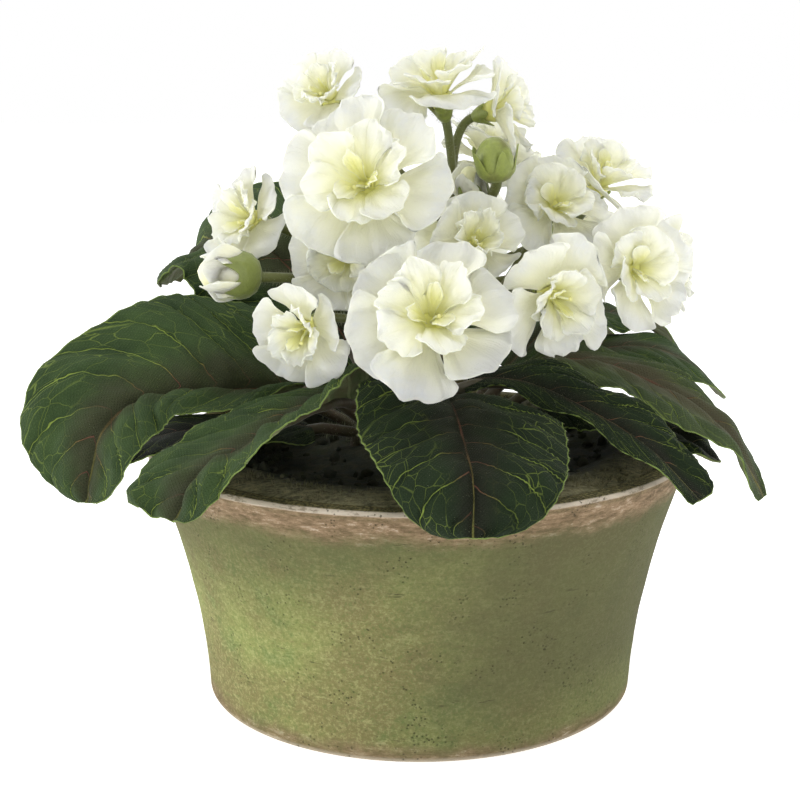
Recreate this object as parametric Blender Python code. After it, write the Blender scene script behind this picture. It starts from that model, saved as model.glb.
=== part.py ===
"""Double-flowered african violet in a flared clay pan, modelled in Blender.

Sizes in this file are millimetres and angles are degrees. The origin is the middle of the pot's
underside, +Z is up, +X is to the right and -Y is the plant's front.
"""

import math
import random
from dataclasses import dataclass

import bmesh
import bpy
from mathutils import Matrix, Vector

MM = 0.001
GAP = 0.3
UP = Vector((0.0, 0.0, 1.0))

# Pot
POT_HEIGHT = 69.2
RIM_RADIUS = 75.0
BASE_RADIUS = 59.9
FLARE_STRAIGHT_SHARE = 0.086
FLARE_POWER = 1.776
WALL = 6.2
FLOOR = 8.0
HEEL_BEVEL = 1.2
RIM_ROUND = 1.6
POT_SIDES = 36
WALL_STATIONS = 5
DRAIN_HOLES = 3
DRAIN_RADIUS = 4.0
DRAIN_CIRCLE = 24.0

# Soil: radius and height of its top, from the pot's wall to the crown
SOIL_TOP = ((62.0, 69.4), (56.0, 69.6), (47.0, 66.4), (33.0, 65.8), (22.0, 68.2), (9.0, 70.6))
SOIL_EDGE_HEIGHT = 68.2
SOIL_CROWN = 71.2
SOIL_LUMP = 0.7
HOLE_FLOOR = 56.0
HOLE_PLAY = 0.8
HOLE_SIDES = 6

# Stalks
STALK_CIRCLE = 5.6
STALK_RADIUS = 1.8
PEDICEL_RADIUS = 1.15
BUD_STEM_RADIUS = 1.5
TUBE_SIDES = 5

# Leaves
INNER_RING = 12.6
OUTER_RING = 18.6
PETIOLE_HALF_WIDTH = 1.7
PETIOLE_HALF_THICKNESS = 1.5
BLADE_HALF_THICKNESS = 0.42
MIDRIB_HALF_THICKNESS = 0.8
BLADE_STATIONS = (0.07, 0.2, 0.36, 0.53, 0.7, 0.85, 0.96)
BLADE_TIP = 0.985

# Blooms; heights are above the throat of a full bloom
FULL_BLOOM = 20.0
FACE_DEPTH = 9.0
BLOOM_FOOT = -0.7
BLOOM_THROAT = 4.4
PETAL_HALF_THICKNESS = 0.34
TIP_ROUNDING = 0.3
BLOOM_CLEARANCE = 0.62
BLOOM_SOFTNESS = 3.0


def clear_scene():
    """Remove whatever the open file holds."""
    for thing in list(bpy.data.objects):
        bpy.data.objects.remove(thing, do_unlink=True)


def finish(name, colour, roughness):
    """Make a plain Principled material."""
    material = bpy.data.materials.new(name)
    material.use_nodes = True
    shader = material.node_tree.nodes["Principled BSDF"]
    shader.inputs["Base Color"].default_value = (*colour, 1.0)
    shader.inputs["Roughness"].default_value = roughness
    shader.inputs["Metallic"].default_value = 0.0
    return material


def add_solid(name, points, faces, material=None):
    """Add one closed body whose points are millimetres, with its faces turned outwards."""
    mesh = bpy.data.meshes.new(name)
    mesh.from_pydata([Vector(point) * MM for point in points], [], faces)
    work = bmesh.new()
    work.from_mesh(mesh)
    bmesh.ops.recalc_face_normals(work, faces=work.faces)
    if work.calc_volume(signed=True) < 0.0:
        bmesh.ops.reverse_faces(work, faces=work.faces)
    work.to_mesh(mesh)
    work.free()
    if material:
        mesh.materials.append(material)
    thing = bpy.data.objects.new(name, mesh)
    bpy.context.scene.collection.objects.link(thing)
    return thing


def shade_round(thing, sharp_angle=40.0):
    """Shade smooth, with edges kept where faces turn more than the angle."""
    thing.data.shade_smooth()
    thing.data.set_sharp_from_angle(angle=math.radians(sharp_angle))


def freeze(thing):
    """Apply the object's modifiers to its mesh."""
    graph = bpy.context.evaluated_depsgraph_get()
    solid = bpy.data.meshes.new_from_object(thing.evaluated_get(graph))
    thing.modifiers.clear()
    thing.data = solid


def combine(whole, others, operation):
    """Add or cut several solids by one Boolean on a collection, and remove them.

    The exact solver leaves open edges where so many solids meet, so this one is the manifold
    solver.
    """
    group = bpy.data.collections.new(whole.name + "_pieces")
    for solid in others:
        group.objects.link(solid)
    step = whole.modifiers.new("combine", "BOOLEAN")
    step.operation = operation
    step.operand_type = "COLLECTION"
    step.collection = group
    step.solver = "MANIFOLD"
    freeze(whole)
    for solid in others:
        bpy.data.objects.remove(solid, do_unlink=True)
    bpy.data.collections.remove(group)
    tidy_mesh(whole.data)


def fuse(name, solids, material):
    """Join overlapping solids in one body."""
    whole = solids[0]
    whole.name = name
    whole.data.materials.append(material)
    combine(whole, solids[1:], "UNION")
    shade_round(whole)
    return whole


def tidy_mesh(mesh):
    """Split faces into triangles and close up the slivers that a union leaves."""
    work = bmesh.new()
    work.from_mesh(mesh)
    bmesh.ops.triangulate(work, faces=work.faces)
    bmesh.ops.dissolve_degenerate(work, edges=work.edges, dist=0.0005 * MM)
    drop_scraps(work)
    work.to_mesh(mesh)
    work.free()


def drop_scraps(work):
    """Keep the largest connected piece and delete the rest."""
    unseen = set(work.verts)
    largest = set()
    while unseen:
        edge = [unseen.pop()]
        piece = set(edge)
        while edge:
            for link in edge.pop().link_edges:
                for vertex in link.verts:
                    if vertex in unseen:
                        unseen.remove(vertex)
                        piece.add(vertex)
                        edge.append(vertex)
        if len(piece) > len(largest):
            largest = piece
    scraps = [vertex for vertex in work.verts if vertex not in largest]
    bmesh.ops.delete(work, geom=scraps, context="VERTS")


def turned(name, outline, sides, material=None):
    """Turn an outline of (radius, height) points round the Z axis, from axis to axis."""
    points, rings = [], []
    for radius, height in outline:
        count = 1 if radius < 1e-6 else sides
        rings.append([len(points) + k for k in range(count)])
        for k in range(count):
            turn = 2.0 * math.pi * k / sides
            points.append((radius * math.cos(turn), radius * math.sin(turn), height))
    faces = [face for low, high in zip(rings, rings[1:]) for face in ring_faces(low, high)]
    return add_solid(name, points, faces, material)


def ring_faces(low, high):
    """Faces between two rings of points, either of which may be a single point."""
    count = max(len(low), len(high))
    for k in range(count):
        after = (k + 1) % count
        if len(low) == 1:
            yield low[0], high[k], high[after]
        elif len(high) == 1:
            yield low[k], low[after], high[0]
        else:
            yield low[k], low[after], high[after], high[k]


def zip_rows(first, second):
    """Triangles between two open rows of points that may differ in number."""
    i = j = 0
    last_i, last_j = len(first) - 1, len(second) - 1
    while i < last_i or j < last_j:
        if j == last_j or (i < last_i and (i + 1) * last_j <= (j + 1) * last_i):
            yield first[i], first[i + 1], second[j]
            i += 1
        else:
            yield first[i], second[j + 1], second[j]
            j += 1


def sheet(name, rows):
    """Close a thin curved sheet, split alike on both faces.

    rows holds, for each row across the sheet, pairs of a point on its middle surface and the
    vector from there to its upper face.
    """
    points, upper, lower = [], [], []
    for row in rows:
        upper.append([len(points) + k for k in range(len(row))])
        points.extend(middle + half for middle, half in row)
        lower.append([len(points) + k for k in range(len(row))])
        points.extend(middle - half for middle, half in row)
    faces = []
    for k in range(len(rows) - 1):
        faces.extend(zip_rows(upper[k], upper[k + 1]))
        faces.extend(reversed(face) for face in zip_rows(lower[k], lower[k + 1]))
        for side in (0, -1):
            faces.append((upper[k][side], lower[k][side], lower[k + 1][side]))
            faces.append((upper[k][side], lower[k + 1][side], upper[k + 1][side]))
    for end in (0, -1):
        faces.extend(zip_rows(upper[end], lower[end]))
    return add_solid(name, points, [tuple(face) for face in faces])


def tube(name, path, radii, sides=TUBE_SIDES):
    """Close a round stem along a path."""
    points, rings = [], []
    across = None
    for k, (centre, radius) in enumerate(zip(path, radii)):
        ahead = (path[min(k + 1, len(path) - 1)] - path[max(k - 1, 0)]).normalized()
        if across is None:
            across = ahead.orthogonal()
        across = (across - across.project(ahead)).normalized()
        other = ahead.cross(across)
        rings.append([len(points) + j for j in range(sides)])
        for j in range(sides):
            turn = 2.0 * math.pi * j / sides
            points.append(centre + (across * math.cos(turn) + other * math.sin(turn)) * radius)
    faces = [tuple(rings[0]), tuple(rings[-1])]
    for low, high in zip(rings, rings[1:]):
        faces.extend(ring_faces(low, high))
    return add_solid(name, points, faces)


def arc(start, end, share):
    """Distance along and up at a share of a unit arc that starts and ends at two slopes."""
    first = math.radians(start)
    turn = math.radians(end) - first
    if abs(turn) < 1e-4:
        return math.cos(first) * share, math.sin(first) * share
    now = first + turn * share
    return (math.sin(now) - math.sin(first)) / turn, (math.cos(first) - math.cos(now)) / turn


def bezier(a, b, c, d, share):
    """Point on a cubic curve."""
    rest = 1.0 - share
    return a * rest**3 + b * (3 * rest**2 * share) + c * (3 * rest * share**2) + d * share**3


def wall_radius(height):
    """Outer radius of the pot at a height."""
    share = height / POT_HEIGHT
    flare = FLARE_STRAIGHT_SHARE * share + (1.0 - FLARE_STRAIGHT_SHARE) * share**FLARE_POWER
    return BASE_RADIUS + (RIM_RADIUS - BASE_RADIUS) * flare


def build_pot(material):
    """The clay pan, with a rounded rim and three drain holes in its floor."""
    shoulder = POT_HEIGHT - RIM_ROUND
    outline = [(0.0, 0.0), (BASE_RADIUS - HEEL_BEVEL, 0.0)]
    for k in range(WALL_STATIONS + 1):
        height = HEEL_BEVEL + (shoulder - HEEL_BEVEL) * k / WALL_STATIONS
        outline.append((wall_radius(height), height))
    outline.append((wall_radius(POT_HEIGHT) - 0.3 * RIM_ROUND, POT_HEIGHT - 0.3 * RIM_ROUND))
    outline.append((wall_radius(POT_HEIGHT) - RIM_ROUND, POT_HEIGHT))
    outline.append((wall_radius(POT_HEIGHT) - WALL + RIM_ROUND, POT_HEIGHT))
    for k in range(WALL_STATIONS):
        height = shoulder + (FLOOR - shoulder) * k / (WALL_STATIONS - 1)
        outline.append((wall_radius(height) - WALL, height))
    outline.append((0.0, FLOOR))
    pot = turned("pot", outline, POT_SIDES, material)
    for k in range(DRAIN_HOLES):
        turn = 2.0 * math.pi * (k + 0.25) / DRAIN_HOLES
        middle = Vector((math.cos(turn), math.sin(turn), 0.0)) * DRAIN_CIRCLE
        path = [middle - UP * FLOOR, middle + UP * 2.0 * FLOOR]
        bore(pot, tube("drain_cutter", path, (DRAIN_RADIUS, DRAIN_RADIUS), 12))
    shade_round(pot, 30.0)
    return pot


def bore(thing, cutter):
    """Cut a hidden cutter out of an object."""
    cutter.hide_render = True
    cutter.display_type = "WIRE"
    cut = thing.modifiers.new("hole", "BOOLEAN")
    cut.operation = "DIFFERENCE"
    cut.object = cutter
    cut.solver = "EXACT"


def build_soil(material, feet):
    """The soil that fills the pot, lumpy on top, with a plain hole for each stem."""
    draw = random.Random(11)
    fit = WALL + GAP
    outline = [(0.0, FLOOR + GAP)]
    for k in range(WALL_STATIONS - 1):
        height = FLOOR + GAP + (SOIL_EDGE_HEIGHT - 2.0 - FLOOR - GAP) * k / (WALL_STATIONS - 2)
        outline.append((wall_radius(height) - fit - 0.1, height))
    outline.append((wall_radius(SOIL_EDGE_HEIGHT) - WALL - 3.0 * GAP, SOIL_EDGE_HEIGHT))
    outline.extend(SOIL_TOP)
    outline.append((0.0, SOIL_CROWN))
    soil = turned("soil", outline, POT_SIDES, material)
    for vertex in soil.data.vertices:
        if vertex.co.z > (SOIL_EDGE_HEIGHT - 4.0) * MM and vertex.co.xy.length < 65.0 * MM:
            vertex.co.z += draw.uniform(-SOIL_LUMP, SOIL_LUMP) * MM
    holes = []
    for k, (foot, radius) in enumerate(feet):
        low = Vector((foot.x, foot.y, HOLE_FLOOR))
        high = Vector((foot.x, foot.y, SOIL_CROWN + 6.0))
        size = radius + HOLE_PLAY
        holes.append(tube("hole_%02d" % k, [low, high], (size, size), HOLE_SIDES))
    combine(soil, holes, "DIFFERENCE")
    shade_round(soil, 35.0)
    return soil


@dataclass(frozen=True)
class Leaf:
    """One leaf: where its petiole stands, the points its midrib passes, and its blade.

    width, fold_right and fold_left are seen from above, looking from the crown to the tip; a
    fold is the slope of that half at the midrib and at its edge, upwards where positive. twist
    is how far the blade has turned about its midrib at the tip, and skew moves the right half's
    widest place towards the crown and the left half's towards the tip.
    """

    name: str
    azimuth: float
    ring: float
    spine: tuple
    width: tuple
    fold_right: tuple
    fold_left: tuple
    peak: float = 0.5
    point: float = 1.0
    wave: float = 1.2
    waves: float = 2.2
    phase: float = 0.0
    twist: float = 0.0
    skew: float = 0.0


LEAVES = (
    Leaf("leaf_left_large", 200, INNER_RING,
         ((-30, -12, 86), (-54, -20, 87), (-72, -28, 86), (-81, -37, 80), (-84, -44, 62.5)),
         (32, 18), (56, 36), (12, -16), peak=0.48, point=0.86, wave=1.6, phase=0.1, twist=30,
         skew=0.12),
    Leaf("leaf_left_back", 152, INNER_RING,
         ((-19, 12, 92), (-36, 20, 114), (-51, 26, 123), (-64, 30, 121), (-72, 31, 110)),
         (26, 28), (66, 54), (-50, -74), peak=0.58, point=0.5, wave=1.2, phase=0.4, skew=0.1),
    Leaf("leaf_left_front", 232, INNER_RING,
         ((-14, -22, 84), (-26, -40, 88.5), (-39, -56, 84), (-51, -70, 79), (-59, -79, 70.5)),
         (20, 17), (-16, -8), (46, 26), peak=0.54, point=0.8, wave=1.0, phase=0.7, skew=-0.14),
    Leaf("leaf_front", 270, OUTER_RING,
         ((5, -29, 85), (8, -46, 89), (10, -63, 86), (12, -79, 79), (12, -87, 66.5)),
         (25, 25), (26, -8), (0, -18), peak=0.5, point=0.78, wave=1.3, phase=0.2),
    Leaf("leaf_right_front", 308, INNER_RING,
         ((11, -19, 88), (25, -31, 92), (40, -43, 88), (55, -55, 80.5), (66.5, -65, 69)),
         (5.5, 10), (-26, -50), (28, 42), peak=0.64, point=0.74, wave=1.2, waves=3.0, phase=0.3),
    Leaf("leaf_right_bronze", 340, INNER_RING,
         ((24, -9, 88), (40, -14, 95), (60, -21, 91), (79, -28, 79), (90, -30, 60)),
         (16, 10), (-12, -30), (22, 2), peak=0.45, point=1.35, wave=1.4, waves=2.6, phase=0.8),
    Leaf("leaf_right_low", 346, OUTER_RING,
         ((28, -6, 77), (42, -10, 79.5), (56, -15, 78), (69, -19, 75), (80, -23, 68)),
         (14, 13), (-4, -18), (4, -10), peak=0.5, point=0.95, wave=1.1, phase=0.75),
    Leaf("leaf_right", 6, OUTER_RING,
         ((30, 4, 82), (48, 7, 93), (64, 8, 95), (78, 9, 89), (87, 10, 79)),
         (13, 11), (-34, -50), (26, 6), peak=0.5, point=1.1, wave=1.2, waves=2.6, phase=0.5),
    Leaf("leaf_right_back", 28, INNER_RING,
         ((23, 9, 86), (41, 18, 101), (56, 26, 101), (70, 30, 96), (79, 33, 86)),
         (12, 13), (-14, -34), (14, -6), peak=0.54, point=1.0, wave=1.8, waves=2.8, phase=0.9),
    Leaf("leaf_left_low", 198, OUTER_RING,
         ((-28, -10, 75), (-42, -15, 79), (-57, -20, 79), (-71, -25, 77), (-82, -29, 73)),
         (15, 18), (6, -12), (-4, -24), peak=0.52, point=0.95, wave=1.0, phase=0.6),
    Leaf("leaf_left_middle", 172, OUTER_RING,
         ((-29, 4, 77), (-45, 7, 82), (-62, 9, 81), (-78, 11, 76), (-89, 13, 66)),
         (18, 18), (10, -20), (6, -16), peak=0.52, point=0.95, wave=1.2, phase=0.15),
    Leaf("leaf_back_left", 130, OUTER_RING,
         ((-20, 23, 77), (-32, 37, 83), (-43, 50, 82), (-54, 63, 76), (-62, 73, 64)),
         (22, 22), (16, -14), (16, -18), peak=0.52, point=0.9, wave=1.3, phase=0.35),
    Leaf("leaf_back", 100, INNER_RING,
         ((-4, 24, 84), (-6, 41, 91), (-7, 58, 88), (-8, 75, 81), (-9, 88, 67)),
         (22, 24), (-2, -30), (8, -20), peak=0.56, point=0.66, wave=1.4, phase=0.55),
    Leaf("leaf_back_right", 50, INNER_RING,
         ((15, 21, 88), (27, 37, 99), (42, 49, 97), (55, 61, 87), (63, 69, 71)),
         (17, 20), (10, -18), (30, 6), peak=0.5, point=0.92, wave=1.4, phase=0.05),
)


@dataclass(frozen=True)
class Bloom:
    """One open bloom: the middle of its face, the way it faces, its radius and its petals."""

    name: str
    face: tuple
    facing: tuple
    radius: float
    stalk: str
    spin: float
    petals: int = 5
    inner: int = 2
    open: float = 0.0
    seed: int = 1

    @property
    def axis(self):
        """Unit vector out of the bloom's face."""
        return Vector(self.facing).normalized()

    @property
    def reach(self):
        """Radius of the space that it keeps from its neighbours."""
        return self.radius

    @property
    def share(self):
        """Size against a full bloom."""
        return self.radius / FULL_BLOOM

    @property
    def core_share(self):
        """Size of the core and calyx, which vary less than the petals."""
        return 0.5 + 0.5 * self.share

    @property
    def throat(self):
        """The point where the petals meet."""
        return Vector(self.face) - self.axis * (FACE_DEPTH * self.share)

    @property
    def frame(self):
        """Matrix from the bloom's own axes, with Z out of its face, to the plant's."""
        across = UP.cross(self.axis)
        if across.length < 0.05:
            across = Vector((1.0, 0.0, 0.0))
        across.normalize()
        other = self.axis.cross(across)
        turn = Matrix((across, other, self.axis)).transposed().to_4x4()
        spin = Matrix.Rotation(math.radians(self.spin), 4, "Z")
        return Matrix.Translation(self.throat) @ turn @ spin


BLOOMS = (
    Bloom("bloom_front", (2.5, -63, 113.5), (-0.03, -1, 0.58), 20.8, "front", 18, 6, 3,
          seed=3),
    Bloom("bloom_upper_left", (-14, -41.5, 143), (-0.25, -1, 0.36), 21.8, "left", 50,
          6, 3, seed=41),
    Bloom("bloom_top_left", (-24.5, -12, 164), (-0.35, -0.8, 0.5), 12.6, "top", 10, open=-14,
          seed=40),
    Bloom("bloom_top", (4.5, -9, 167), (-0.25, -0.4, 1), 17, "top", 30, seed=9),
    Bloom("bloom_top_right", (23, -2, 160.5), (0.85, -0.25, 0.28), 14, "top", 5, open=-8, seed=41),
    Bloom("bloom_left", (-45.5, -17, 132), (-0.7, -0.7, 0.25), 13.6, "left", 40, seed=40),
    Bloom("bloom_left_middle", (-19, -33, 123.5), (-0.3, -1, 0.05), 14.5, "front", 32, seed=44),
    Bloom("bloom_left_front", (-28, -52, 107.5), (-0.45, -1, -0.2), 13.2, "front", 25, open=-10,
          seed=40),
    Bloom("bloom_middle", (14, -33, 127.5), (0.2, -0.85, 0.45), 13.6, "right", 15, open=-16,
          seed=40),
    Bloom("bloom_right_front", (34, -43, 114.5), (0.4, -0.85, -0.15), 16.2, "right", 60, open=-6,
          seed=42),
    Bloom("bloom_right", (55, -33.5, 121), (0.32, -0.95, 0.2), 15.2, "right", 33, seed=41),
    Bloom("bloom_right_upper", (36, -12, 136), (0.15, -0.9, 0.5), 14.8, "right", 80, seed=41),
    Bloom("bloom_right_top", (50, 2, 142.5), (0.3, -0.5, 0.8), 15.2, "right", 12, open=-8,
          seed=41),
    Bloom("bloom_far_right", (68, -4, 118), (0.95, -0.35, 0.05), 14.0, "back", 44, seed=40),
    Bloom("bloom_upper_back", (20, 18, 148), (0.25, 0.55, 0.85), 14.5, "back", 20, seed=41),
    Bloom("bloom_back_right", (45, 32, 126), (0.75, 0.7, 0.3), 15.5, "back", 65, seed=33),
    Bloom("bloom_back", (12, 46, 123), (0.1, 1, 0.25), 17.0, "back", 10, seed=35),
    Bloom("bloom_back_left", (-15, 42, 119), (-0.4, 0.9, 0.2), 15.0, "back", 35, seed=37),
    Bloom("bloom_back_upper", (-13, 22, 151), (-0.35, 0.55, 0.8), 15.0, "left", 52, seed=39),
)


@dataclass(frozen=True)
class Petal:
    """One petal, in its bloom's own axes."""

    azimuth: float
    root: tuple
    length: float
    wedge: float
    bulge: float
    start: float
    end: float
    cup: float
    tilt: float
    sway: float
    ruffle: float
    phase: float

    def at(self, share, side):
        """Middle-surface point at a share of the length, side from -1 to 1 across."""
        reach = share * (1.0 - TIP_ROUNDING * side * side * share)
        along, rise = arc(self.start, self.end, reach)
        slope = math.radians(self.start + (self.end - self.start) * reach)
        span = self.root[0] + along * self.length
        width = span * (self.wedge + self.bulge * math.sin(math.pi * max(reach, 0.0)**2.2)**2)
        lift = self.cup * side * side * width + self.tilt * side * width
        lift += self.ruffle * reach**2 * math.sin(2.6 * math.pi * side + self.phase)
        radius = span - math.sin(slope) * lift
        height = self.root[1] + rise * self.length + math.cos(slope) * lift
        turn = Matrix.Rotation(math.radians(self.azimuth), 3, "Z")
        return turn @ Vector((radius, self.sway * reach**2 - side * width, height))


@dataclass(frozen=True)
class Whorl:
    """The rule for one whorl: its reach is a share of the bloom's radius.

    root is the radius and height of the ring that its petals grow from in a full bloom, wedge
    and bulge are shares of the room that a petal has beside its neighbours, and rows are shares
    of the petal's length with the number of points across it there.
    """

    reach: float
    root: tuple
    wedge: float
    bulge: float
    start: float
    end: float
    cup: float
    tilt: float
    ruffle: float
    rows: tuple

    def edges(self):
        """Radius and height of the ring's lower and upper edges."""
        slope = math.radians(self.start)
        for side in (-1.1, 1.1):
            half = side * PETAL_HALF_THICKNESS
            yield self.root[0] - half * math.sin(slope), self.root[1] + half * math.cos(slope)


WHORLS = (
    Whorl(1.0, (3.3, 3.8), 0.88, 0.36, 34.0, -10.0, 0.07, 0.27, 0.05,
          ((0.3, 3), (0.65, 4), (1.0, 5))),
    Whorl(0.6, (2.3, 4.6), 0.83, 0.36, 66.0, 24.0, 0.1, 0.28, 0.05,
          ((0.45, 3), (1.0, 3))),
    Whorl(0.28, (1.2, 5.0), 0.9, 0.2, 80.0, 52.0, 0.2, 0.2, 0.03,
          ((1.0, 2),)),
)
FINE_OUTER_ROWS = ((0.26, 3), (0.52, 4), (0.78, 5), (1.0, 6))


def petal_of(bloom, place, k, draw):
    """The petal that grows from one side of a whorl's ring."""
    whorl = WHORLS[place]
    room = math.pi / bloom.petals
    root = (whorl.root[0] * math.cos(room) * bloom.core_share, whorl.root[1] * bloom.core_share)
    span = bloom.radius * whorl.reach * draw.uniform(0.93, 1.06)
    return Petal(
        azimuth=360.0 * (k + 0.5 * place) / bloom.petals + draw.uniform(-2.0, 2.0),
        root=root,
        length=(span - root[0]) / arc(whorl.start, whorl.end, 1.0)[0],
        wedge=whorl.wedge * math.tan(room) * (1.0 + 0.006 * bloom.open),
        bulge=whorl.bulge * math.tan(room) * draw.uniform(0.8, 1.2),
        start=whorl.start - bloom.open * 0.3 + draw.uniform(-2.0, 2.0),
        end=whorl.end - bloom.open * 2.0 + draw.uniform(-12.0, 8.0),
        cup=whorl.cup,
        tilt=whorl.tilt + draw.uniform(-0.03, 0.03),
        sway=span * draw.uniform(-0.1, 0.1),
        ruffle=bloom.radius * whorl.ruffle * draw.uniform(0.6, 1.2),
        phase=draw.uniform(0.0, 6.28),
    )


def walls_between(bloom):
    """Planes that part a bloom from its neighbours, as outward normals and reaches."""
    walls = []
    here = Vector(bloom.face)
    for other in BLOOMS + BUDS:
        if other is bloom:
            continue
        apart = Vector(other.face) - here
        distance = apart.length
        if distance > 1.25 * (bloom.reach + other.reach):
            continue
        normal = apart.normalized()
        share = (distance**2 + bloom.reach**2 - other.reach**2) / (2.0 * distance)
        walls.append((normal, normal.dot(here) + share - BLOOM_CLEARANCE))
    return walls


def hold_back(point, walls):
    """Bend a point softly away from the walls that it would pass."""
    for normal, reach in walls:
        room = reach - normal.dot(point)
        if room < BLOOM_SOFTNESS:
            kept = BLOOM_SOFTNESS * math.exp(room / BLOOM_SOFTNESS - 1.0)
            point = point + normal * (room - kept)
    return point


def surface_row(surface, share, count, half_thickness):
    """A row across a surface: points with the vector to the upper face."""
    step = 0.02
    row = []
    for k in range(count):
        side = -1.0 + 2.0 * k / (count - 1)
        along = surface(share + step, side) - surface(share - step, side)
        across = surface(share, side + step) - surface(share, side - step)
        normal = across.cross(along).normalized()
        row.append((surface(share, side), normal * half_thickness))
    return row


class Skin:
    """The points and faces of one closed skin, put together bit by bit."""

    def __init__(self):
        self.points = []
        self.faces = []

    def add(self, points):
        """Add points and return their numbers."""
        first = len(self.points)
        self.points.extend(points)
        return list(range(first, len(self.points)))

    def band(self, low, high):
        """Join a ring, or a single point, to the next one, which is half a step further round."""
        count = max(len(low), len(high))
        for k in range(count):
            after = (k + 1) % count
            if len(low) > 1:
                self.faces.append((low[k], low[after], high[k % len(high)]))
            if len(high) > 1:
                self.faces.append((high[k], low[after % len(low)], high[after]))

    def grow(self, upper, lower, rows):
        """Grow a thin petal out of the gap between two edges."""
        for row in rows:
            next_upper = self.add([middle + half for middle, half in row])
            next_lower = self.add([middle - half for middle, half in row])
            self.faces.extend(zip_rows(upper, next_upper))
            self.faces.extend(zip_rows(lower, next_lower))
            for side in (0, -1):
                self.faces.append((upper[side], lower[side], next_lower[side]))
                self.faces.append((upper[side], next_lower[side], next_upper[side]))
            upper, lower = next_upper, next_lower
        self.faces.extend(zip_rows(upper, lower))


def ring_of(frame, place, count, offset):
    """Points of a ring whose place is its radius and height."""
    for k in range(count):
        turn = 2.0 * math.pi * (k + offset) / count
        yield frame @ Vector((place[0] * math.cos(turn), place[0] * math.sin(turn), place[1]))


def scale_frame(frame):
    """A frame given in millimetres, for meshes that are already in metres."""
    turn = frame.to_3x3().to_4x4()
    return Matrix.Translation(frame.translation * MM) @ turn


def build_bloom(bloom, material):
    """One open double bloom as a single closed skin.

    Each whorl's petals grow out of the sides of a ring, and each ring is inside the last one.
    """
    walls = walls_between(bloom)
    draw = random.Random(bloom.seed)
    frame = bloom.frame
    core = frame @ Matrix.Scale(bloom.core_share, 4)
    count = bloom.petals
    skin = Skin()
    last = skin.add([core @ Vector((0.0, 0.0, BLOOM_FOOT))])
    for place, whorl in enumerate(WHORLS):
        lower, upper = (skin.add(ring_of(core, edge, count, 0.5 + 0.5 * place))
                        for edge in whorl.edges())
        skin.band(last, lower)
        rows = whorl.rows
        if place == 0 and bloom.radius > FULL_BLOOM:
            rows = FINE_OUTER_ROWS
        for k in range(count):
            petal = petal_of(bloom, place, k, draw)
            before = (k - 1) % count

            def surface(share, side, petal=petal):
                return hold_back(frame @ petal.at(share, side), walls)

            spread = []
            if place < 2 or k % 2 == 0 and k // 2 < bloom.inner:
                spread = [surface_row(surface, share, points, PETAL_HALF_THICKNESS)
                          for share, points in rows]
            skin.grow([upper[k], upper[before]], [lower[k], lower[before]], spread)
        last = upper
    skin.band(last, skin.add([core @ Vector((0.0, 0.0, BLOOM_THROAT))]))
    thing = add_solid(bloom.name, skin.points, [tuple(face) for face in skin.faces], material)
    shade_round(thing)
    return thing


@dataclass(frozen=True)
class Bud:
    """A closed or half-open bud: its middle, the way it points and its size."""

    name: str
    face: tuple
    facing: tuple
    radius: float
    length: float
    stalk: str
    petals: int = 0

    @property
    def axis(self):
        """Unit vector from the stem to the bud's tip."""
        return Vector(self.facing).normalized()

    @property
    def reach(self):
        """Radius of the space that it keeps from its neighbours."""
        return 0.5 * (self.radius + 0.5 * self.length) + 1.5

    @property
    def throat(self):
        """Foot of the bud, where its stem ends."""
        return Vector(self.face) - self.axis * (0.5 * self.length)

    @property
    def frame(self):
        """Matrix from the bud's own axes to the plant's."""
        across = UP.cross(self.axis)
        if across.length < 0.05:
            across = Vector((1.0, 0.0, 0.0))
        across.normalize()
        turn = Matrix((across, self.axis.cross(across), self.axis)).transposed().to_4x4()
        return Matrix.Translation(self.throat) @ turn


BUDS = (
    Bud("bud_top", (19.2, -22, 147.6), (-0.15, -0.2, 1), 5.0, 11.0, "top"),
    Bud("bud_middle", (13.8, -13.0, 139.5), (-0.2, -0.3, 1), 4.3, 13.0, "top", petals=3),
    Bud("bud_left", (-48.5, -30, 119), (-1, -0.2, 0.12), 6.2, 16.0, "left", petals=4),
)


STALKS = {
    "front": (270, (0, -12, 97)),
    "left": (198, (-11, -5, 112)),
    "top": (126, (9, -3, 126)),
    "right": (342, (20, -6, 108)),
    "back": (54, (8, 14, 108)),
}


def stalk_foot(azimuth, radius):
    """A point on the soil's crown."""
    turn = math.radians(azimuth)
    return Vector((math.cos(turn) * radius, math.sin(turn) * radius, 0.0))


def stem(name, start, leave, end, arrive, radius, stations=3):
    """A curved stem that leaves and arrives along two given directions."""
    path = [bezier(start, start + leave, end - arrive, end, k / stations)
            for k in range(stations + 1)]
    return tube(name, path, [radius] * len(path))


def calyx(name, frame, share):
    """Five joined sepals as a star-edged cup, hollowed by a cone for the bloom to sit in."""
    rings = []
    for notch, tip in (((2.1, -2.6), (2.3, -2.4)), ((3.2, 0.2), (4.9, 2.3)),
                       ((2.5, 0.7), (4.2, 2.6))):
        rings.append((notch, tip))
    points, loops = [], []
    for notch, tip in rings:
        loops.append([len(points) + k for k in range(10)])
        for k in range(10):
            radius, height = tip if k % 2 else notch
            turn = 2.0 * math.pi * k / 10
            points.append(Vector((radius * math.cos(turn), radius * math.sin(turn), height)))
    foot, seat = len(points), len(points) + 1
    points.extend((Vector((0.0, 0.0, -4.4)), Vector((0.0, 0.0, -1.2))))
    points = [frame @ (point * share) for point in points]
    faces = list(ring_faces([foot], loops[0]))
    for low, high in zip(loops, loops[1:]):
        faces.extend(ring_faces(low, high))
    faces.extend(ring_faces(loops[-1], [seat]))
    return add_solid(name, points, faces)


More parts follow.
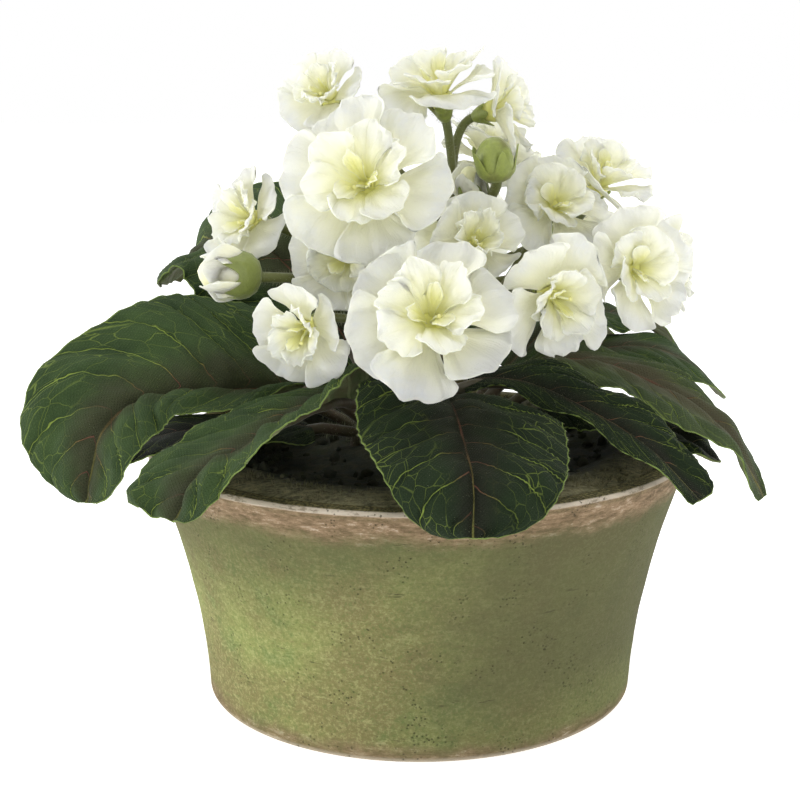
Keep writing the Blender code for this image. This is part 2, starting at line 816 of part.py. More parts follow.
def bud_body(name, bud):
    """The green of a bud: closed where it has no petals, an open cup where it has."""
    frame = scale_frame(bud.frame)
    wide, long = bud.radius, bud.length
    if bud.petals:
        outline = ((0.0, -0.04), (0.5, 0.0), (0.9, 0.14), (1.02, 0.3), (1.0, 0.46), (0.93, 0.46),
                   (0.86, 0.28), (0.0, 0.12))
    else:
        outline = ((0.0, -0.04), (0.45, 0.0), (0.9, 0.2), (1.0, 0.45), (0.86, 0.72), (0.45, 0.94),
                   (0.0, 1.0))
    body = turned(name, [(radius * wide, height * long) for radius, height in outline], 8)
    body.data.transform(frame)
    return body


BUD_PETAL_ROWS = ((0.0, 2), (0.6, 2), (1.0, 3))


def bud_petals(bud, material):
    """The folded petals that stand out of a half-open bud."""
    draw = random.Random(round(bud.length))
    frame = bud.frame
    wide, long = bud.radius, bud.length
    fit = GAP + 0.1
    outline = ((0.0, 0.12 * long + fit), (0.86 * wide - fit, 0.28 * long + fit),
               (0.9 * wide - fit, 0.5 * long), (0.66 * wide, 0.78 * long), (0.0, 0.98 * long))
    core = turned("core", outline, 8)
    core.data.transform(scale_frame(frame))
    solids = [core]
    for k in range(bud.petals):
        petal = Petal(
            azimuth=360.0 * k / bud.petals + 20.0,
            root=(0.72 * wide, 0.5 * long),
            length=0.46 * long * draw.uniform(0.92, 1.12),
            wedge=0.8,
            bulge=0.0,
            start=88.0,
            end=draw.uniform(112.0, 128.0),
            cup=0.3,
            tilt=0.2,
            sway=0.0,
            ruffle=0.04 * wide,
            phase=draw.uniform(0.0, 6.28),
        )

        def surface(share, side, petal=petal):
            return frame @ petal.at(share, side)

        rows = [surface_row(surface, share, count, PETAL_HALF_THICKNESS)
                for share, count in BUD_PETAL_ROWS]
        solids.append(sheet("petal", rows))
    return fuse(bud.name + "_petals", solids, material)


def build_stalk(name, material):
    """A flower stalk with the stems, calyces and buds that it carries."""
    azimuth, crown = STALKS[name]
    crown = Vector(crown)
    foot = stalk_foot(azimuth, STALK_CIRCLE)
    foot.z = HOLE_FLOOR + GAP
    collar = Vector((foot.x, foot.y, SOIL_CROWN))
    heading = (crown - collar).normalized()
    path = [foot]
    for k in range(5):
        path.append(bezier(collar, collar + UP * 6.0, crown - (crown - collar) * 0.3, crown, k / 4))
    solids = [tube("stalk", path, [STALK_RADIUS] * 6)]
    for bloom in BLOOMS:
        if bloom.stalk == name:
            share = bloom.core_share
            end = bloom.throat - bloom.axis * (3.6 * share)
            solids.append(stem("pedicel", crown - heading * 1.5, heading * 6.0, end,
                               bloom.axis * 9.0, PEDICEL_RADIUS))
            solids.append(calyx("calyx", bloom.frame, share))
    for bud in BUDS:
        if bud.stalk == name:
            end = bud.throat + bud.axis * 0.8
            solids.append(stem("pedicel", crown - heading * 1.5, heading * 5.0, end,
                               bud.axis * 7.0, BUD_STEM_RADIUS))
            solids.append(bud_body("bud", bud))
    return fuse("stalk_" + name, solids, material)


def spline(points, spans=10):
    """Points and lengths along a smooth curve through the given points."""
    padded = [points[0] * 2.0 - points[1], *points, points[-1] * 2.0 - points[-2]]
    path = []
    for k in range(len(points) - 1):
        a, b, c, d = padded[k:k + 4]
        for j in range(spans):
            t = j / spans
            path.append(0.5 * (b * 2.0 + (c - a) * t + (a * 2.0 - b * 5.0 + c * 4.0 - d) * t**2
                               + (b * 3.0 - a - c * 3.0 + d) * t**3))
    path.append(points[-1])
    lengths = [0.0]
    for before, after in zip(path, path[1:]):
        lengths.append(lengths[-1] + (after - before).length)
    return path, lengths


def along_path(path, lengths, distance):
    """Point at a distance along a path, carried on straight past its ends."""
    k = 0
    while k < len(path) - 2 and lengths[k + 1] < distance:
        k += 1
    share = (distance - lengths[k]) / (lengths[k + 1] - lengths[k])
    return path[k].lerp(path[k + 1], share)


class LeafShape:
    """Works out the points of a leaf's petiole and blade."""

    def __init__(self, leaf):
        self.leaf = leaf
        foot = stalk_foot(leaf.azimuth, leaf.ring)
        self.foot = Vector((foot.x, foot.y, HOLE_FLOOR + GAP))
        rise = Vector((foot.x, foot.y, SOIL_CROWN + 1.0))
        spine = [Vector(point) for point in leaf.spine]
        lead = [self.foot, self.foot.lerp(rise, 0.9), rise]
        self.path, self.lengths = spline([*lead, *spine])
        steps = (len(self.path) - 1) // (len(spine) + 2)
        self.blade_start = self.lengths[3 * steps]
        self.total = self.lengths[-1]
        heading = spine[-2] - spine[0]
        self.side = Vector((heading.y, -heading.x, 0.0)).normalized()

    def frame(self, distance):
        """Point on the midrib with the unit vectors to its side and up."""
        here = along_path(self.path, self.lengths, distance)
        ahead = (along_path(self.path, self.lengths, distance + 2.0)
                 - along_path(self.path, self.lengths, distance - 2.0)).normalized()
        side = (self.side - self.side.project(ahead)).normalized()
        share = (distance - self.blade_start) / (self.total - self.blade_start)
        turn = math.radians(self.leaf.twist * min(max(share, 0.0), 1.0)**2)
        side = side * math.cos(turn) + side.cross(ahead) * math.sin(turn)
        return here, side, side.cross(ahead)

    def half_width(self, share, side):
        """Half width of the blade on one side at a share of its length."""
        share = min(max(share, 0.0), 1.0)
        leaf = self.leaf
        peak = leaf.peak - math.copysign(leaf.skew, side)
        rise, fall = peak * leaf.point, (1.0 - peak) * leaf.point
        top = peak**rise * (1.0 - peak)**fall
        shape = share**rise * (1.0 - share)**fall / top
        wide = leaf.width[0] if side > 0.0 else leaf.width[1]
        return math.hypot(wide * shape, PETIOLE_HALF_WIDTH * (1.0 - 0.6 * share))

    def at(self, share, side):
        """Middle-surface point of the blade."""
        leaf = self.leaf
        distance = self.blade_start + share * (self.total - self.blade_start)
        here, across, up = self.frame(distance)
        fold = leaf.fold_right if side > 0.0 else leaf.fold_left
        wide = self.half_width(share, side)
        ease = 1.0 - 0.8 * min(max(share, 0.0), 1.0)**1.3
        out, lift = arc(fold[0] * ease, fold[1] * ease, abs(side))
        turn = 2.0 * math.pi * (leaf.waves * share + leaf.phase + (0.3 if side > 0.0 else 0.0))
        lift = lift * wide + leaf.wave * side * side * math.sin(turn)
        return clear_of_blooms(here + across * math.copysign(out * wide, side) + up * lift)


def clear_of_blooms(point):
    """Press a leaf's point out of the space that the blooms fill."""
    softness = 0.22
    for bloom in BLOOMS:
        local = bloom.frame.inverted() @ point
        local.z -= 0.35 * bloom.radius
        size = Vector((local.x, local.y, local.z / 0.55)).length / (1.06 * bloom.radius)
        if size - 1.0 < softness:
            wanted = 1.0 + softness * math.exp((size - 1.0) / softness - 1.0)
            local *= wanted / max(size, 0.05)
            local.z += 0.35 * bloom.radius
            point = bloom.frame @ local
    return point


def build_leaf(leaf, material):
    """One leaf, petiole and blade in one solid."""
    shape = LeafShape(leaf)
    rows = []
    for distance in (0.0, SOIL_CROWN - HOLE_FLOOR, 0.8 * shape.blade_start):
        here, side, up = shape.frame(distance)
        rows.append([(here - side * PETIOLE_HALF_WIDTH, up * 0.7),
                     (here, up * PETIOLE_HALF_THICKNESS),
                     (here + side * PETIOLE_HALF_WIDTH, up * 0.7)])
    for share in BLADE_STATIONS:
        count = 3 if share < 0.1 or share > 0.95 else 5
        row = surface_row(shape.at, share, count, BLADE_HALF_THICKNESS)
        middle, half = row[count // 2]
        rib = MIDRIB_HALF_THICKNESS * (1.3 - share)
        row[count // 2] = (middle, half * max(rib / BLADE_HALF_THICKNESS, 1.0))
        rows.append(row)
    tip = surface_row(shape.at, BLADE_TIP, 3, BLADE_HALF_THICKNESS)
    rows.append([tip[0], tip[2]])
    thing = sheet(leaf.name, rows)
    thing.data.materials.append(material)
    shade_round(thing, 60.0)
    return thing


def build_plant():
    """Build every piece of the potted plant."""
    clay = finish("mossy_clay", (0.24, 0.25, 0.13), 0.9)
    peat = finish("dark_peat", (0.05, 0.04, 0.025), 0.95)
    green = finish("leaf_green", (0.045, 0.1, 0.03), 0.6)
    bronze = finish("leaf_bronze", (0.09, 0.075, 0.05), 0.6)
    stalk_green = finish("stalk_green", (0.2, 0.3, 0.08), 0.6)
    cream = finish("petal_cream", (0.86, 0.86, 0.72), 0.55)

    feet = []
    for leaf in LEAVES:
        feet.append((stalk_foot(leaf.azimuth, leaf.ring), PETIOLE_HALF_WIDTH + 0.15))
    for azimuth, _ in STALKS.values():
        feet.append((stalk_foot(azimuth, STALK_CIRCLE), STALK_RADIUS))

    build_pot(clay)
    build_soil(peat, feet)
    for leaf in LEAVES:
        build_leaf(leaf, bronze if "bronze" in leaf.name else green)
    for name in STALKS:
        build_stalk(name, stalk_green)
    for bloom in BLOOMS:
        build_bloom(bloom, cream)
    for bud in BUDS:
        if bud.petals:
            bud_petals(bud, cream)


clear_scene()
build_plant()
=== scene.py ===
"""Dresses a potted african violet: a double-flowered plant in a flared, mossy clay pan.

Sizes are millimetres and angles are degrees unless a name says otherwise. The origin is the
middle of the pot's underside, +Z is up, +X is to the right and -Y is the plant's front.
"""

import logging
import math
import random
from dataclasses import dataclass, field
from enum import Enum

import bmesh
import bpy
import numpy as np
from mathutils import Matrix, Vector, noise


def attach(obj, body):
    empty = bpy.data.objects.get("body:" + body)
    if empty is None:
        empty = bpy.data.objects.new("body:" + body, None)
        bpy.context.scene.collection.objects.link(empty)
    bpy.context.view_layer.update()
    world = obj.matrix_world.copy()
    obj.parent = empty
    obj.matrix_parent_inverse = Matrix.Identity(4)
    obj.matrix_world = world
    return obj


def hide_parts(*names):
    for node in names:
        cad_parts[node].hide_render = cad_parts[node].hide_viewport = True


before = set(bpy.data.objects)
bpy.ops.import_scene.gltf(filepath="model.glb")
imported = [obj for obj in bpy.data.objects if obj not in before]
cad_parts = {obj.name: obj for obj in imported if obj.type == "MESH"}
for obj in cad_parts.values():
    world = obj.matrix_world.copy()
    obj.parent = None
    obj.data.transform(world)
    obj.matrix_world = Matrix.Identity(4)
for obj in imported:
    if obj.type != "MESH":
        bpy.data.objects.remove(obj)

MM = 0.001
GAP = 0.3
SPLINE_STEPS = 10
BLADE_START = 3 * SPLINE_STEPS  # the point of a leaf's midrib where its blade starts
STAR_SIDES = 50
UP = np.array((0.0, 0.0, 1.0))
BODY = "root"

Colour = tuple[float, float, float]
Pair = tuple[float, float]
Place = tuple[float, float, float]
Socket = bpy.types.NodeSocket
Material = bpy.types.Material

log = logging.getLogger("african_violet")


class Slot(Enum):
    """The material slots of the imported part."""

    CLAY = "mossy_clay"
    PEAT = "peat"
    LEAF = "leaf_green"
    BRONZE = "leaf_bronze"
    STALK = "stalk_green"
    PETAL = "petal_cream"


class Tone(Enum):
    """How a leaf is coloured."""

    FRESH = "fresh"
    # A darker copy of the fresh green: painted shade for the low leaves and those under the blooms.
    DEEP = "painted_shade"
    BRONZE = "bronze"


# --- Geometry helpers


def unit(vectors: np.ndarray) -> np.ndarray:
    """Vectors scaled to length one."""
    return vectors / np.maximum(np.linalg.norm(vectors, axis=-1, keepdims=True), 1e-9)


def smooth(values: np.ndarray, low: float, high: float) -> np.ndarray:
    """Soft step from 0 at low to 1 at high."""
    share = np.clip((values - low) / (high - low), 0.0, 1.0)
    return share * share * (3.0 - 2.0 * share)


def square_to(vectors: np.ndarray, ahead: np.ndarray) -> np.ndarray:
    """Vectors turned square to the unit vectors ahead, and scaled to length one."""
    return unit(vectors - ahead * np.sum(vectors * ahead, axis=-1, keepdims=True))


def around(ahead: np.ndarray, draw: random.Random) -> np.ndarray:
    """Random unit vectors, each square to one of the unit vectors ahead."""
    return square_to(np.array([draw.gauss(0.0, 1.0) for _ in range(ahead.size)]).reshape(-1, 3),
                     ahead)


def arc(start: np.ndarray, end: np.ndarray, share: np.ndarray) -> tuple[np.ndarray, np.ndarray]:
    """Follow a unit arc that starts and ends at two slopes.

    Args:
        start: Slope at the start.
        end: Slope at the end.
        share: Share of the arc's length.

    Returns:
        Distance along and distance up.
    """
    first = np.radians(start)
    turn = np.radians(end) - first
    turn = np.where(np.abs(turn) < 1e-4, 1e-4, turn)
    now = first + turn * share
    return (np.sin(now) - np.sin(first)) / turn, (np.cos(first) - np.cos(now)) / turn


def bezier(a: np.ndarray, b: np.ndarray, c: np.ndarray, d: np.ndarray, count: int) -> np.ndarray:
    """Points on a cubic curve.

    Args:
        a: Start of the curve.
        b: Control point after the start.
        c: Control point before the end.
        d: End of the curve.
        count: Number of points.

    Returns:
        The points, one a row.
    """
    share = np.linspace(0.0, 1.0, count)[:, None]
    rest = 1.0 - share
    return a * rest**3 + b * (3 * rest**2 * share) + c * (3 * rest * share**2) + d * share**3


def spline(points: np.ndarray, steps: int = SPLINE_STEPS) -> np.ndarray:
    """Points on a smooth curve through the given points.

    Args:
        points: The points to pass.
        steps: Steps between two of them.

    Returns:
        The curve's points, one a row.
    """
    padded = np.vstack([2 * points[0] - points[1], points, 2 * points[-1] - points[-2]])
    path = []
    for k in range(len(points) - 1):
        a, b, c, d = padded[k:k + 4]
        for j in range(steps):
            t = j / steps
            path.append(0.5 * (b * 2 + (c - a) * t + (a * 2 - b * 5 + c * 4 - d) * t**2
                               + (b * 3 - a - c * 3 + d) * t**3))
    path.append(points[-1])
    return np.array(path)


def turned_axes(axis: np.ndarray, spin: float = 0.0) -> np.ndarray:
    """Axes of a bloom or bud whose Z is the given axis, as the columns of a matrix.

    Args:
        axis: Unit vector out of the bloom's face.
        spin: Turn about that axis.

    Returns:
        A 3 by 3 matrix.
    """
    across = np.cross(UP, axis)
    if np.linalg.norm(across) < 0.05:
        across = np.array((1.0, 0.0, 0.0))
    across = unit(across)
    angle = math.radians(spin)
    flat = np.array(((math.cos(angle), -math.sin(angle), 0.0),
                     (math.sin(angle), math.cos(angle), 0.0), (0.0, 0.0, 1.0)))
    return np.column_stack([across, np.cross(axis, across), axis]) @ flat


def surface_normals(middle: np.ndarray) -> np.ndarray:
    """Unit normals of a grid of points, on the side that the part calls its upper face."""
    return unit(np.cross(np.gradient(middle, axis=1), np.gradient(middle, axis=0)))


def fractal(points: np.ndarray, size: float, octaves: int = 3) -> np.ndarray:
    """Smooth noise from about -1 to 1 at each point.

    Args:
        points: Points, one a row.
        size: Size of the largest lumps.
        octaves: Number of layers, each half the size of the last.

    Returns:
        One value a point.
    """
    total = np.zeros(len(points))
    for octave in range(octaves):
        scale = 2.0**octave / size
        found = [noise.noise(Vector(point)) for point in (points * scale).tolist()]
        total += np.array(found) * 0.5**octave
    return total


@dataclass
class Skin:
    """Points and faces of one piece, with named values at the points."""

    names: tuple[str, ...] = ()
    points: list[np.ndarray] = field(default_factory=list)
    faces: list[np.ndarray] = field(default_factory=list)
    slots: list[int] = field(default_factory=list)
    values: dict[str, list[np.ndarray]] = field(default_factory=dict)
    count: int = 0

    def add(self, points: np.ndarray, **values: np.ndarray | float) -> np.ndarray:
        """Add points.

        Args:
            points: An array of points of any shape.
            values: Named values, one a point or one for all.

        Returns:
            The points' numbers, in the same shape.
        """
        shape = points.shape[:-1]
        first = self.count
        self.count += int(np.prod(shape))
        self.points.append(points.reshape(-1, 3))
        for name in self.names:
            found = np.broadcast_to(values.get(name, 0.0), shape)
            self.values.setdefault(name, []).append(found.ravel())
        return np.arange(first, self.count).reshape(shape)

    def lay(self, faces: np.ndarray, slot: int = 0) -> None:
        """Add faces, given as rows of point numbers."""
        self.faces.append(faces)
        self.slots.append(slot)

    def grid(self, numbers: np.ndarray, slot: int = 0, closed: bool = False) -> None:
        """Add the faces of a grid of points.

        Args:
            numbers: Point numbers, rows by columns.
            slot: Material slot of the faces.
            closed: True where the last column meets the first.
        """
        if closed:
            numbers = np.concatenate([numbers, numbers[:, :1]], axis=1)
        quads = np.stack([numbers[:-1, :-1], numbers[:-1, 1:], numbers[1:, 1:],
                          numbers[1:, :-1]], axis=-1)
        self.lay(quads.reshape(-1, 4), slot)

    def fan(self, ring: np.ndarray, centre: int, slot: int = 0) -> None:
        """Close a ring of points with triangles to one point."""
        after = np.roll(ring, -1)
        self.lay(np.stack([ring, after, np.full_like(ring, centre)], axis=-1), slot)

    def shell(self, middle: np.ndarray, half: np.ndarray, slots: Pair = (0, 0),
              **values: np.ndarray | float) -> np.ndarray:
        """Add a thin closed sheet.

        Args:
            middle: Grid of points on its middle surface.
            half: Half thickness at each of them.
            slots: Material slots of the upper and lower faces.
            values: Named values, one a point of the grid or one for all.

        Returns:
            Unit normals of the grid.
        """
        normals = surface_normals(middle)
        offset = normals * half[..., None]
        upper = self.add(middle + offset, **values)
        lower = self.add(middle - offset, **values)
        self.grid(upper, slots[0])
        self.grid(lower, slots[1])
        rim = [np.concatenate([side[0, :-1], side[:-1, -1], side[-1, :0:-1], side[:0:-1, 0]])
               for side in (upper, lower)]
        self.grid(np.stack(rim), slots[0], closed=True)
        return normals

    def tube(self, path: np.ndarray, radii: np.ndarray, sides: int = 12, slot: int = 0,
             flat: float = 1.0, **values: np.ndarray | float) -> None:
        """Add a round stem with closed ends.

        Args:
            path: Points on its middle line.
            radii: Radius at each of them.
            sides: Points round it.
            slot: Material slot.
            flat: Height of its section as a share of its width.
            values: Named values, one a point of the path or one for all.
        """
        ahead = unit(np.gradient(path, axis=0))
        start = UP if abs(ahead[0, 2]) < 0.9 else np.array((1.0, 0.0, 0.0))
        across = unit(np.cross(ahead[0], start))
        turn = np.linspace(0.0, 2.0 * math.pi, sides, endpoint=False)
        rings = []
        for k, direction in enumerate(ahead):
            across = unit(across - direction * np.dot(across, direction))
            other = np.cross(direction, across) * flat
            rings.append(path[k] + radii[k] * (np.outer(np.cos(turn), across)
                                               + np.outer(np.sin(turn), other)))
        spread = {name: np.broadcast_to(value, len(path))[:, None]
                  for name, value in values.items()}
        numbers = self.add(np.array(rings), **spread)
        self.grid(numbers, slot, closed=True)
        for end in (0, -1):
            last = {name: value[end] for name, value in spread.items()}
            centre = self.add(path[end][None] + ahead[end] * radii[end] * (0.4 if end else -0.4),
                              **last)
            self.fan(numbers[end], int(centre[0]), slot)

    def turned(self, outline: np.ndarray, axes: np.ndarray, origin: np.ndarray, sides: int = 24,
               slot: int = 0, lobes: float = 0.0, **values: np.ndarray | float) -> None:
        """Add a body turned round an axis, closed at both ends.

        Args:
            outline: Rows of radius and height, from axis to axis.
            axes: Its axes, as the columns of a matrix.
            origin: Where its own origin lies.
            sides: Points round it.
            slot: Material slot.
            lobes: Depth of five lengthwise furrows, as a share of the radius.
            values: Named values, one a row of the outline or one for all.
        """
        turn = np.linspace(0.0, 2.0 * math.pi, sides, endpoint=False)
        ripple = 1.0 + lobes * (np.abs(np.cos(2.5 * turn)) - 0.6)
        body = outline[1:-1]
        radius = body[:, :1] * ripple
        local = np.stack([radius * np.cos(turn), radius * np.sin(turn),
                          np.broadcast_to(body[:, 1:], radius.shape)], axis=-1)
        spread = {name: np.broadcast_to(value, len(outline)) for name, value in values.items()}
        numbers = self.add(local @ axes.T + origin,
                           **{name: value[1:-1, None] for name, value in spread.items()})
        self.grid(numbers, slot, closed=True)
        for end in (0, -1):
            tip = self.add((np.array((0.0, 0.0, outline[end, 1])) @ axes.T + origin)[None],
                           **{name: value[end] for name, value in spread.items()})
            self.fan(numbers[end], int(tip[0]), slot)

    def star(self, rows: tuple[tuple[Pair, Pair], ...], seats: Pair, size: Pair,
             axes: np.ndarray, origin: np.ndarray, **values: float) -> np.ndarray:
        """Add a cup of five pointed lobes, closed at both ends.

        Args:
            rows: For each row, the radius and height at a notch and at a lobe's tip.
            seats: Heights of the middle points below and inside.
            size: Scale of the radii and of the heights.
            axes: Its axes, as the columns of a matrix.
            origin: Where its own origin lies.
            values: Named values for the whole cup.

        Returns:
            The grid of its points.
        """
        turn = np.linspace(0.0, 2.0 * math.pi, STAR_SIDES, endpoint=False)
        lobe = (0.5 - 0.5 * np.cos(5.0 * turn))**1.5
        points = []
        for notch, tip in rows:
            radius = (notch[0] + (tip[0] - notch[0]) * lobe) * size[0]
            height = (notch[1] + (tip[1] - notch[1]) * lobe) * size[1]
            points.append(np.stack([radius * np.cos(turn), radius * np.sin(turn), height], -1))
        placed = np.array(points) @ axes.T + origin
        numbers = self.add(placed, **values)
        self.grid(numbers, 0, closed=True)
        for end, height in zip((0, -1), seats):
            middle = self.add((axes[:, 2] * height * size[1] + origin)[None], **values)
            self.fan(numbers[end], int(middle[0]))
        return placed

    def hairs(self, roots: np.ndarray, leans: np.ndarray, lengths: np.ndarray, radius: float,
              slot: int) -> None:
        """Add fine hairs, each a tapering three-sided spike.

        Args:
            roots: Where they stand.
            leans: Unit vectors that they point along.
            lengths: Their lengths.
            radius: Radius at the root.
            slot: Material slot.
        """
        side = unit(np.cross(leans, UP + 0.01))
        other = np.cross(leans, side)
        feet = [roots + radius * (side * math.cos(turn) + other * math.sin(turn))
                for turn in (0.0, 2.1, 4.2)]
        numbers = self.add(np.stack([*feet, roots + leans * lengths[:, None]], axis=1))
        for a, b, c in ((0, 1, 3), (1, 2, 3), (2, 0, 3), (0, 2, 1)):
            self.lay(numbers[:, (a, b, c)], slot)

    def build(self, name: str, materials: list[Material], sharp: float = 45.0
              ) -> bpy.types.Object:
        """Make the piece.

        Args:
            name: The piece's name.
            materials: Its materials, in the order of the slots.
            sharp: Angle between faces above which an edge stays sharp.

        Returns:
            The new object.
        """
        mesh = bpy.data.meshes.new(name)
        rows = [row for group in self.faces for row in group.tolist()]
        mesh.from_pydata((np.concatenate(self.points) * MM).tolist(), [], rows)
        indices = np.concatenate([np.full(len(group), slot, np.int32)
                                  for group, slot in zip(self.faces, self.slots)])
        mesh.polygons.foreach_set("material_index", indices)
        for value, groups in self.values.items():
            layer = mesh.attributes.new(value, "FLOAT", "POINT")
            layer.data.foreach_set("value", np.concatenate(groups).astype(np.float32))
        work = bmesh.new()
        work.from_mesh(mesh)
        bmesh.ops.recalc_face_normals(work, faces=work.faces)
        work.to_mesh(mesh)
        work.free()
        mesh.shade_smooth()
        mesh.set_sharp_from_angle(angle=math.radians(sharp))
        for material in materials:
            mesh.materials.append(material)
        piece = bpy.data.objects.new(name, mesh)
        bpy.context.scene.collection.objects.link(piece)
        return piece


def settle(piece: bpy.types.Object, slot: Slot, *nodes: str) -> None:
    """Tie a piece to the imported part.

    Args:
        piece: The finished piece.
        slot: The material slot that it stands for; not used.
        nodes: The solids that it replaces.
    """
    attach(piece, BODY)
    if nodes:
        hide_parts(*nodes)
    log.info("%s: %d faces, for %s", piece.name, len(piece.data.polygons),
             ", ".join(nodes) or "no solid")


# --- Finishes


@dataclass(frozen=True)
class Signal:
    """What comes out of a node: it adds, multiplies and blends in a few words."""

    nodes: "Nodes"
    socket: Socket

    def __add__(self, other: "Signal | float") -> "Signal":
        """Sum of the two."""
        return self.nodes.math("ADD", self, other)

    def __sub__(self, other: "Signal | float") -> "Signal":
        """Difference of the two."""
        return self.nodes.math("SUBTRACT", self, other)

    def __mul__(self, other: "Signal | float") -> "Signal":
        """Product of the two."""
        return self.nodes.math("MULTIPLY", self, other)

    def most(self, other: "Signal") -> "Signal":
        """The larger of the two."""
        return self.nodes.math("MAXIMUM", self, other)

    def size(self) -> "Signal":
        """The value without its sign."""
        return self.nodes.math("ABSOLUTE", self)

    def step(self, low: float, high: float, first: float = 0.0, last: float = 1.0) -> "Signal":
        """A soft step.

        Args:
            low: Where the step starts.
            high: Where it ends.
            first: The result below it.
            last: The result above it.

        Returns:
            The result.
        """
        return self.nodes.node("MapRange", {"Value": self, "From Min": low, "From Max": high,
                                            "To Min": first, "To Max": last},
                               interpolation_type="SMOOTHSTEP")

    def mix(self, first: "Signal | Colour", second: "Signal | Colour") -> "Signal":
        """A blend of two colours, with this as the share of the second."""
        return self.nodes.node("Mix", {0: self, 6: first, 7: second}, 2, data_type="RGBA")

    def line(self, width: float) -> "Signal":
        """1 where the value is whole and 0 further than width from it."""
        apart = (self.nodes.math("FRACT", self + 0.5) - 0.5).size()
        return apart.step(0.3 * width, width, 1.0, 0.0)


def layered(colour: Signal, *coats: tuple[Signal, Signal | Colour]) -> Signal:
    """Lay coats over a colour, each given as its share and its own colour."""
    for share, coat in coats:
        colour = share.mix(colour, coat)
    return colour


class Nodes:
    """A tree of shader nodes."""

    def __init__(self, tree: bpy.types.NodeTree) -> None:
        """Take up a tree."""
        self.tree = tree

    def feed(self, socket: Socket, value: Signal | float | Colour) -> None:
        """Link a socket to a signal, or set its value."""
        if isinstance(value, Signal):
            self.tree.links.new(value.socket, socket)
        elif isinstance(value, tuple) and socket.type == "RGBA":
            socket.default_value = (*value, 1.0)
        else:
            socket.default_value = value

    def node(self, kind: str, inputs: dict[str | int, Signal | float | Colour],
             output: str | int = 0, **settings: str) -> Signal:
        """Add a node.

        Args:
            kind: Its type, without the word that all types start with.
            inputs: What goes into its sockets.
            output: The socket that is used.
            settings: Its other settings.

        Returns:
            What comes out.
        """
        node = self.tree.nodes.new("ShaderNode" + kind)
        for name, setting in settings.items():
            setattr(node, name, setting)
        for name, value in inputs.items():
            self.feed(node.inputs[name], value)
        return Signal(self, node.outputs[output])

    def math(self, operation: str, first: Signal, second: Signal | float = 0.0) -> Signal:
        """The result of a sum with two values."""
        return self.node("Math", {0: first, 1: second}, operation=operation)


class Recipe(Nodes):
    """A material's nodes; coordinates are the object's, in metres."""

    def __init__(self, name: str) -> None:
        """Start a material."""
        self.material = bpy.data.materials.new(name)
        self.material.use_nodes = True
        super().__init__(self.material.node_tree)
        self.place = self.node("TexCoord", {}, "Object")

    def value(self, name: str) -> Signal:
        """One of the piece's named values."""
        return self.node("Attribute", {}, "Fac", attribute_name=name)

    def stretched(self, stretch: Place) -> Signal:
        """The coordinates, scaled along each axis."""
        return self.node("Mapping", {"Vector": self.place, "Scale": stretch})

    def combined(self, first: Signal, second: Signal) -> Signal:
        """Two values as coordinates."""
        return self.node("CombineXYZ", {0: first, 1: second})

    def axis(self, name: str) -> Signal:
        """Place along an axis, in millimetres."""
        return self.node("SeparateXYZ", {0: self.place}, name) * 1000.0

    def radius(self) -> Signal:
        """Distance from the pot's middle line, in millimetres."""
        return self.node("VectorMath", {0: self.stretched((1.0, 1.0, 0.0))}, "Value",
                         operation="LENGTH") * 1000.0

    def lumps(self, scale: float, detail: float = 3.0, roughness: float = 0.55,
              where: Signal | None = None) -> Signal:
        """Cloudy noise.

        Args:
            scale: Lumps in a metre, or in a unit of the coordinates.
            detail: Layers of finer noise.
            roughness: How strong those are.
            where: Coordinates, if not the piece's own.

        Returns:
            A value from 0 to 1.
        """
        return self.node("TexNoise", {"Vector": where or self.place, "Scale": scale,
                                      "Detail": detail, "Roughness": roughness})

    def cells(self, scale: float, feature: str = "F1", where: Signal | None = None) -> Signal:
        """Cellular pattern.

        Args:
            scale: Cells in a metre, or in a unit of the coordinates.
            feature: The distance that is wanted, to a cell's middle if not said.
            where: Coordinates, if not the piece's own.

        Returns:
            The distance.
        """
        return self.node("TexVoronoi", {"Vector": where or self.place, "Scale": scale},
                         "Distance", feature=feature)

    def done(self, colour: Signal, roughness: Signal | float, relief: Signal, depth: float,
             **constants: float | Colour) -> Material:
        """Wire the shader up.

        Args:
            colour: Base colour.
            roughness: Roughness.
            relief: Height of the fine relief.
            depth: Its depth in millimetres.
            constants: Other sockets, with spaces written as underscores.

        Returns:
            The finished material.
        """
        bump = self.node("Bump", {"Strength": 1.0, "Distance": depth * MM, "Height": relief},
                         "Normal")
        sockets = {"Normal": bump, "Base_Color": colour, "Roughness": roughness, **constants}
        for name, value in sockets.items():
            self.feed(self.tree.nodes["Principled BSDF"].inputs[name.replace("_", " ")], value)
        return self.material


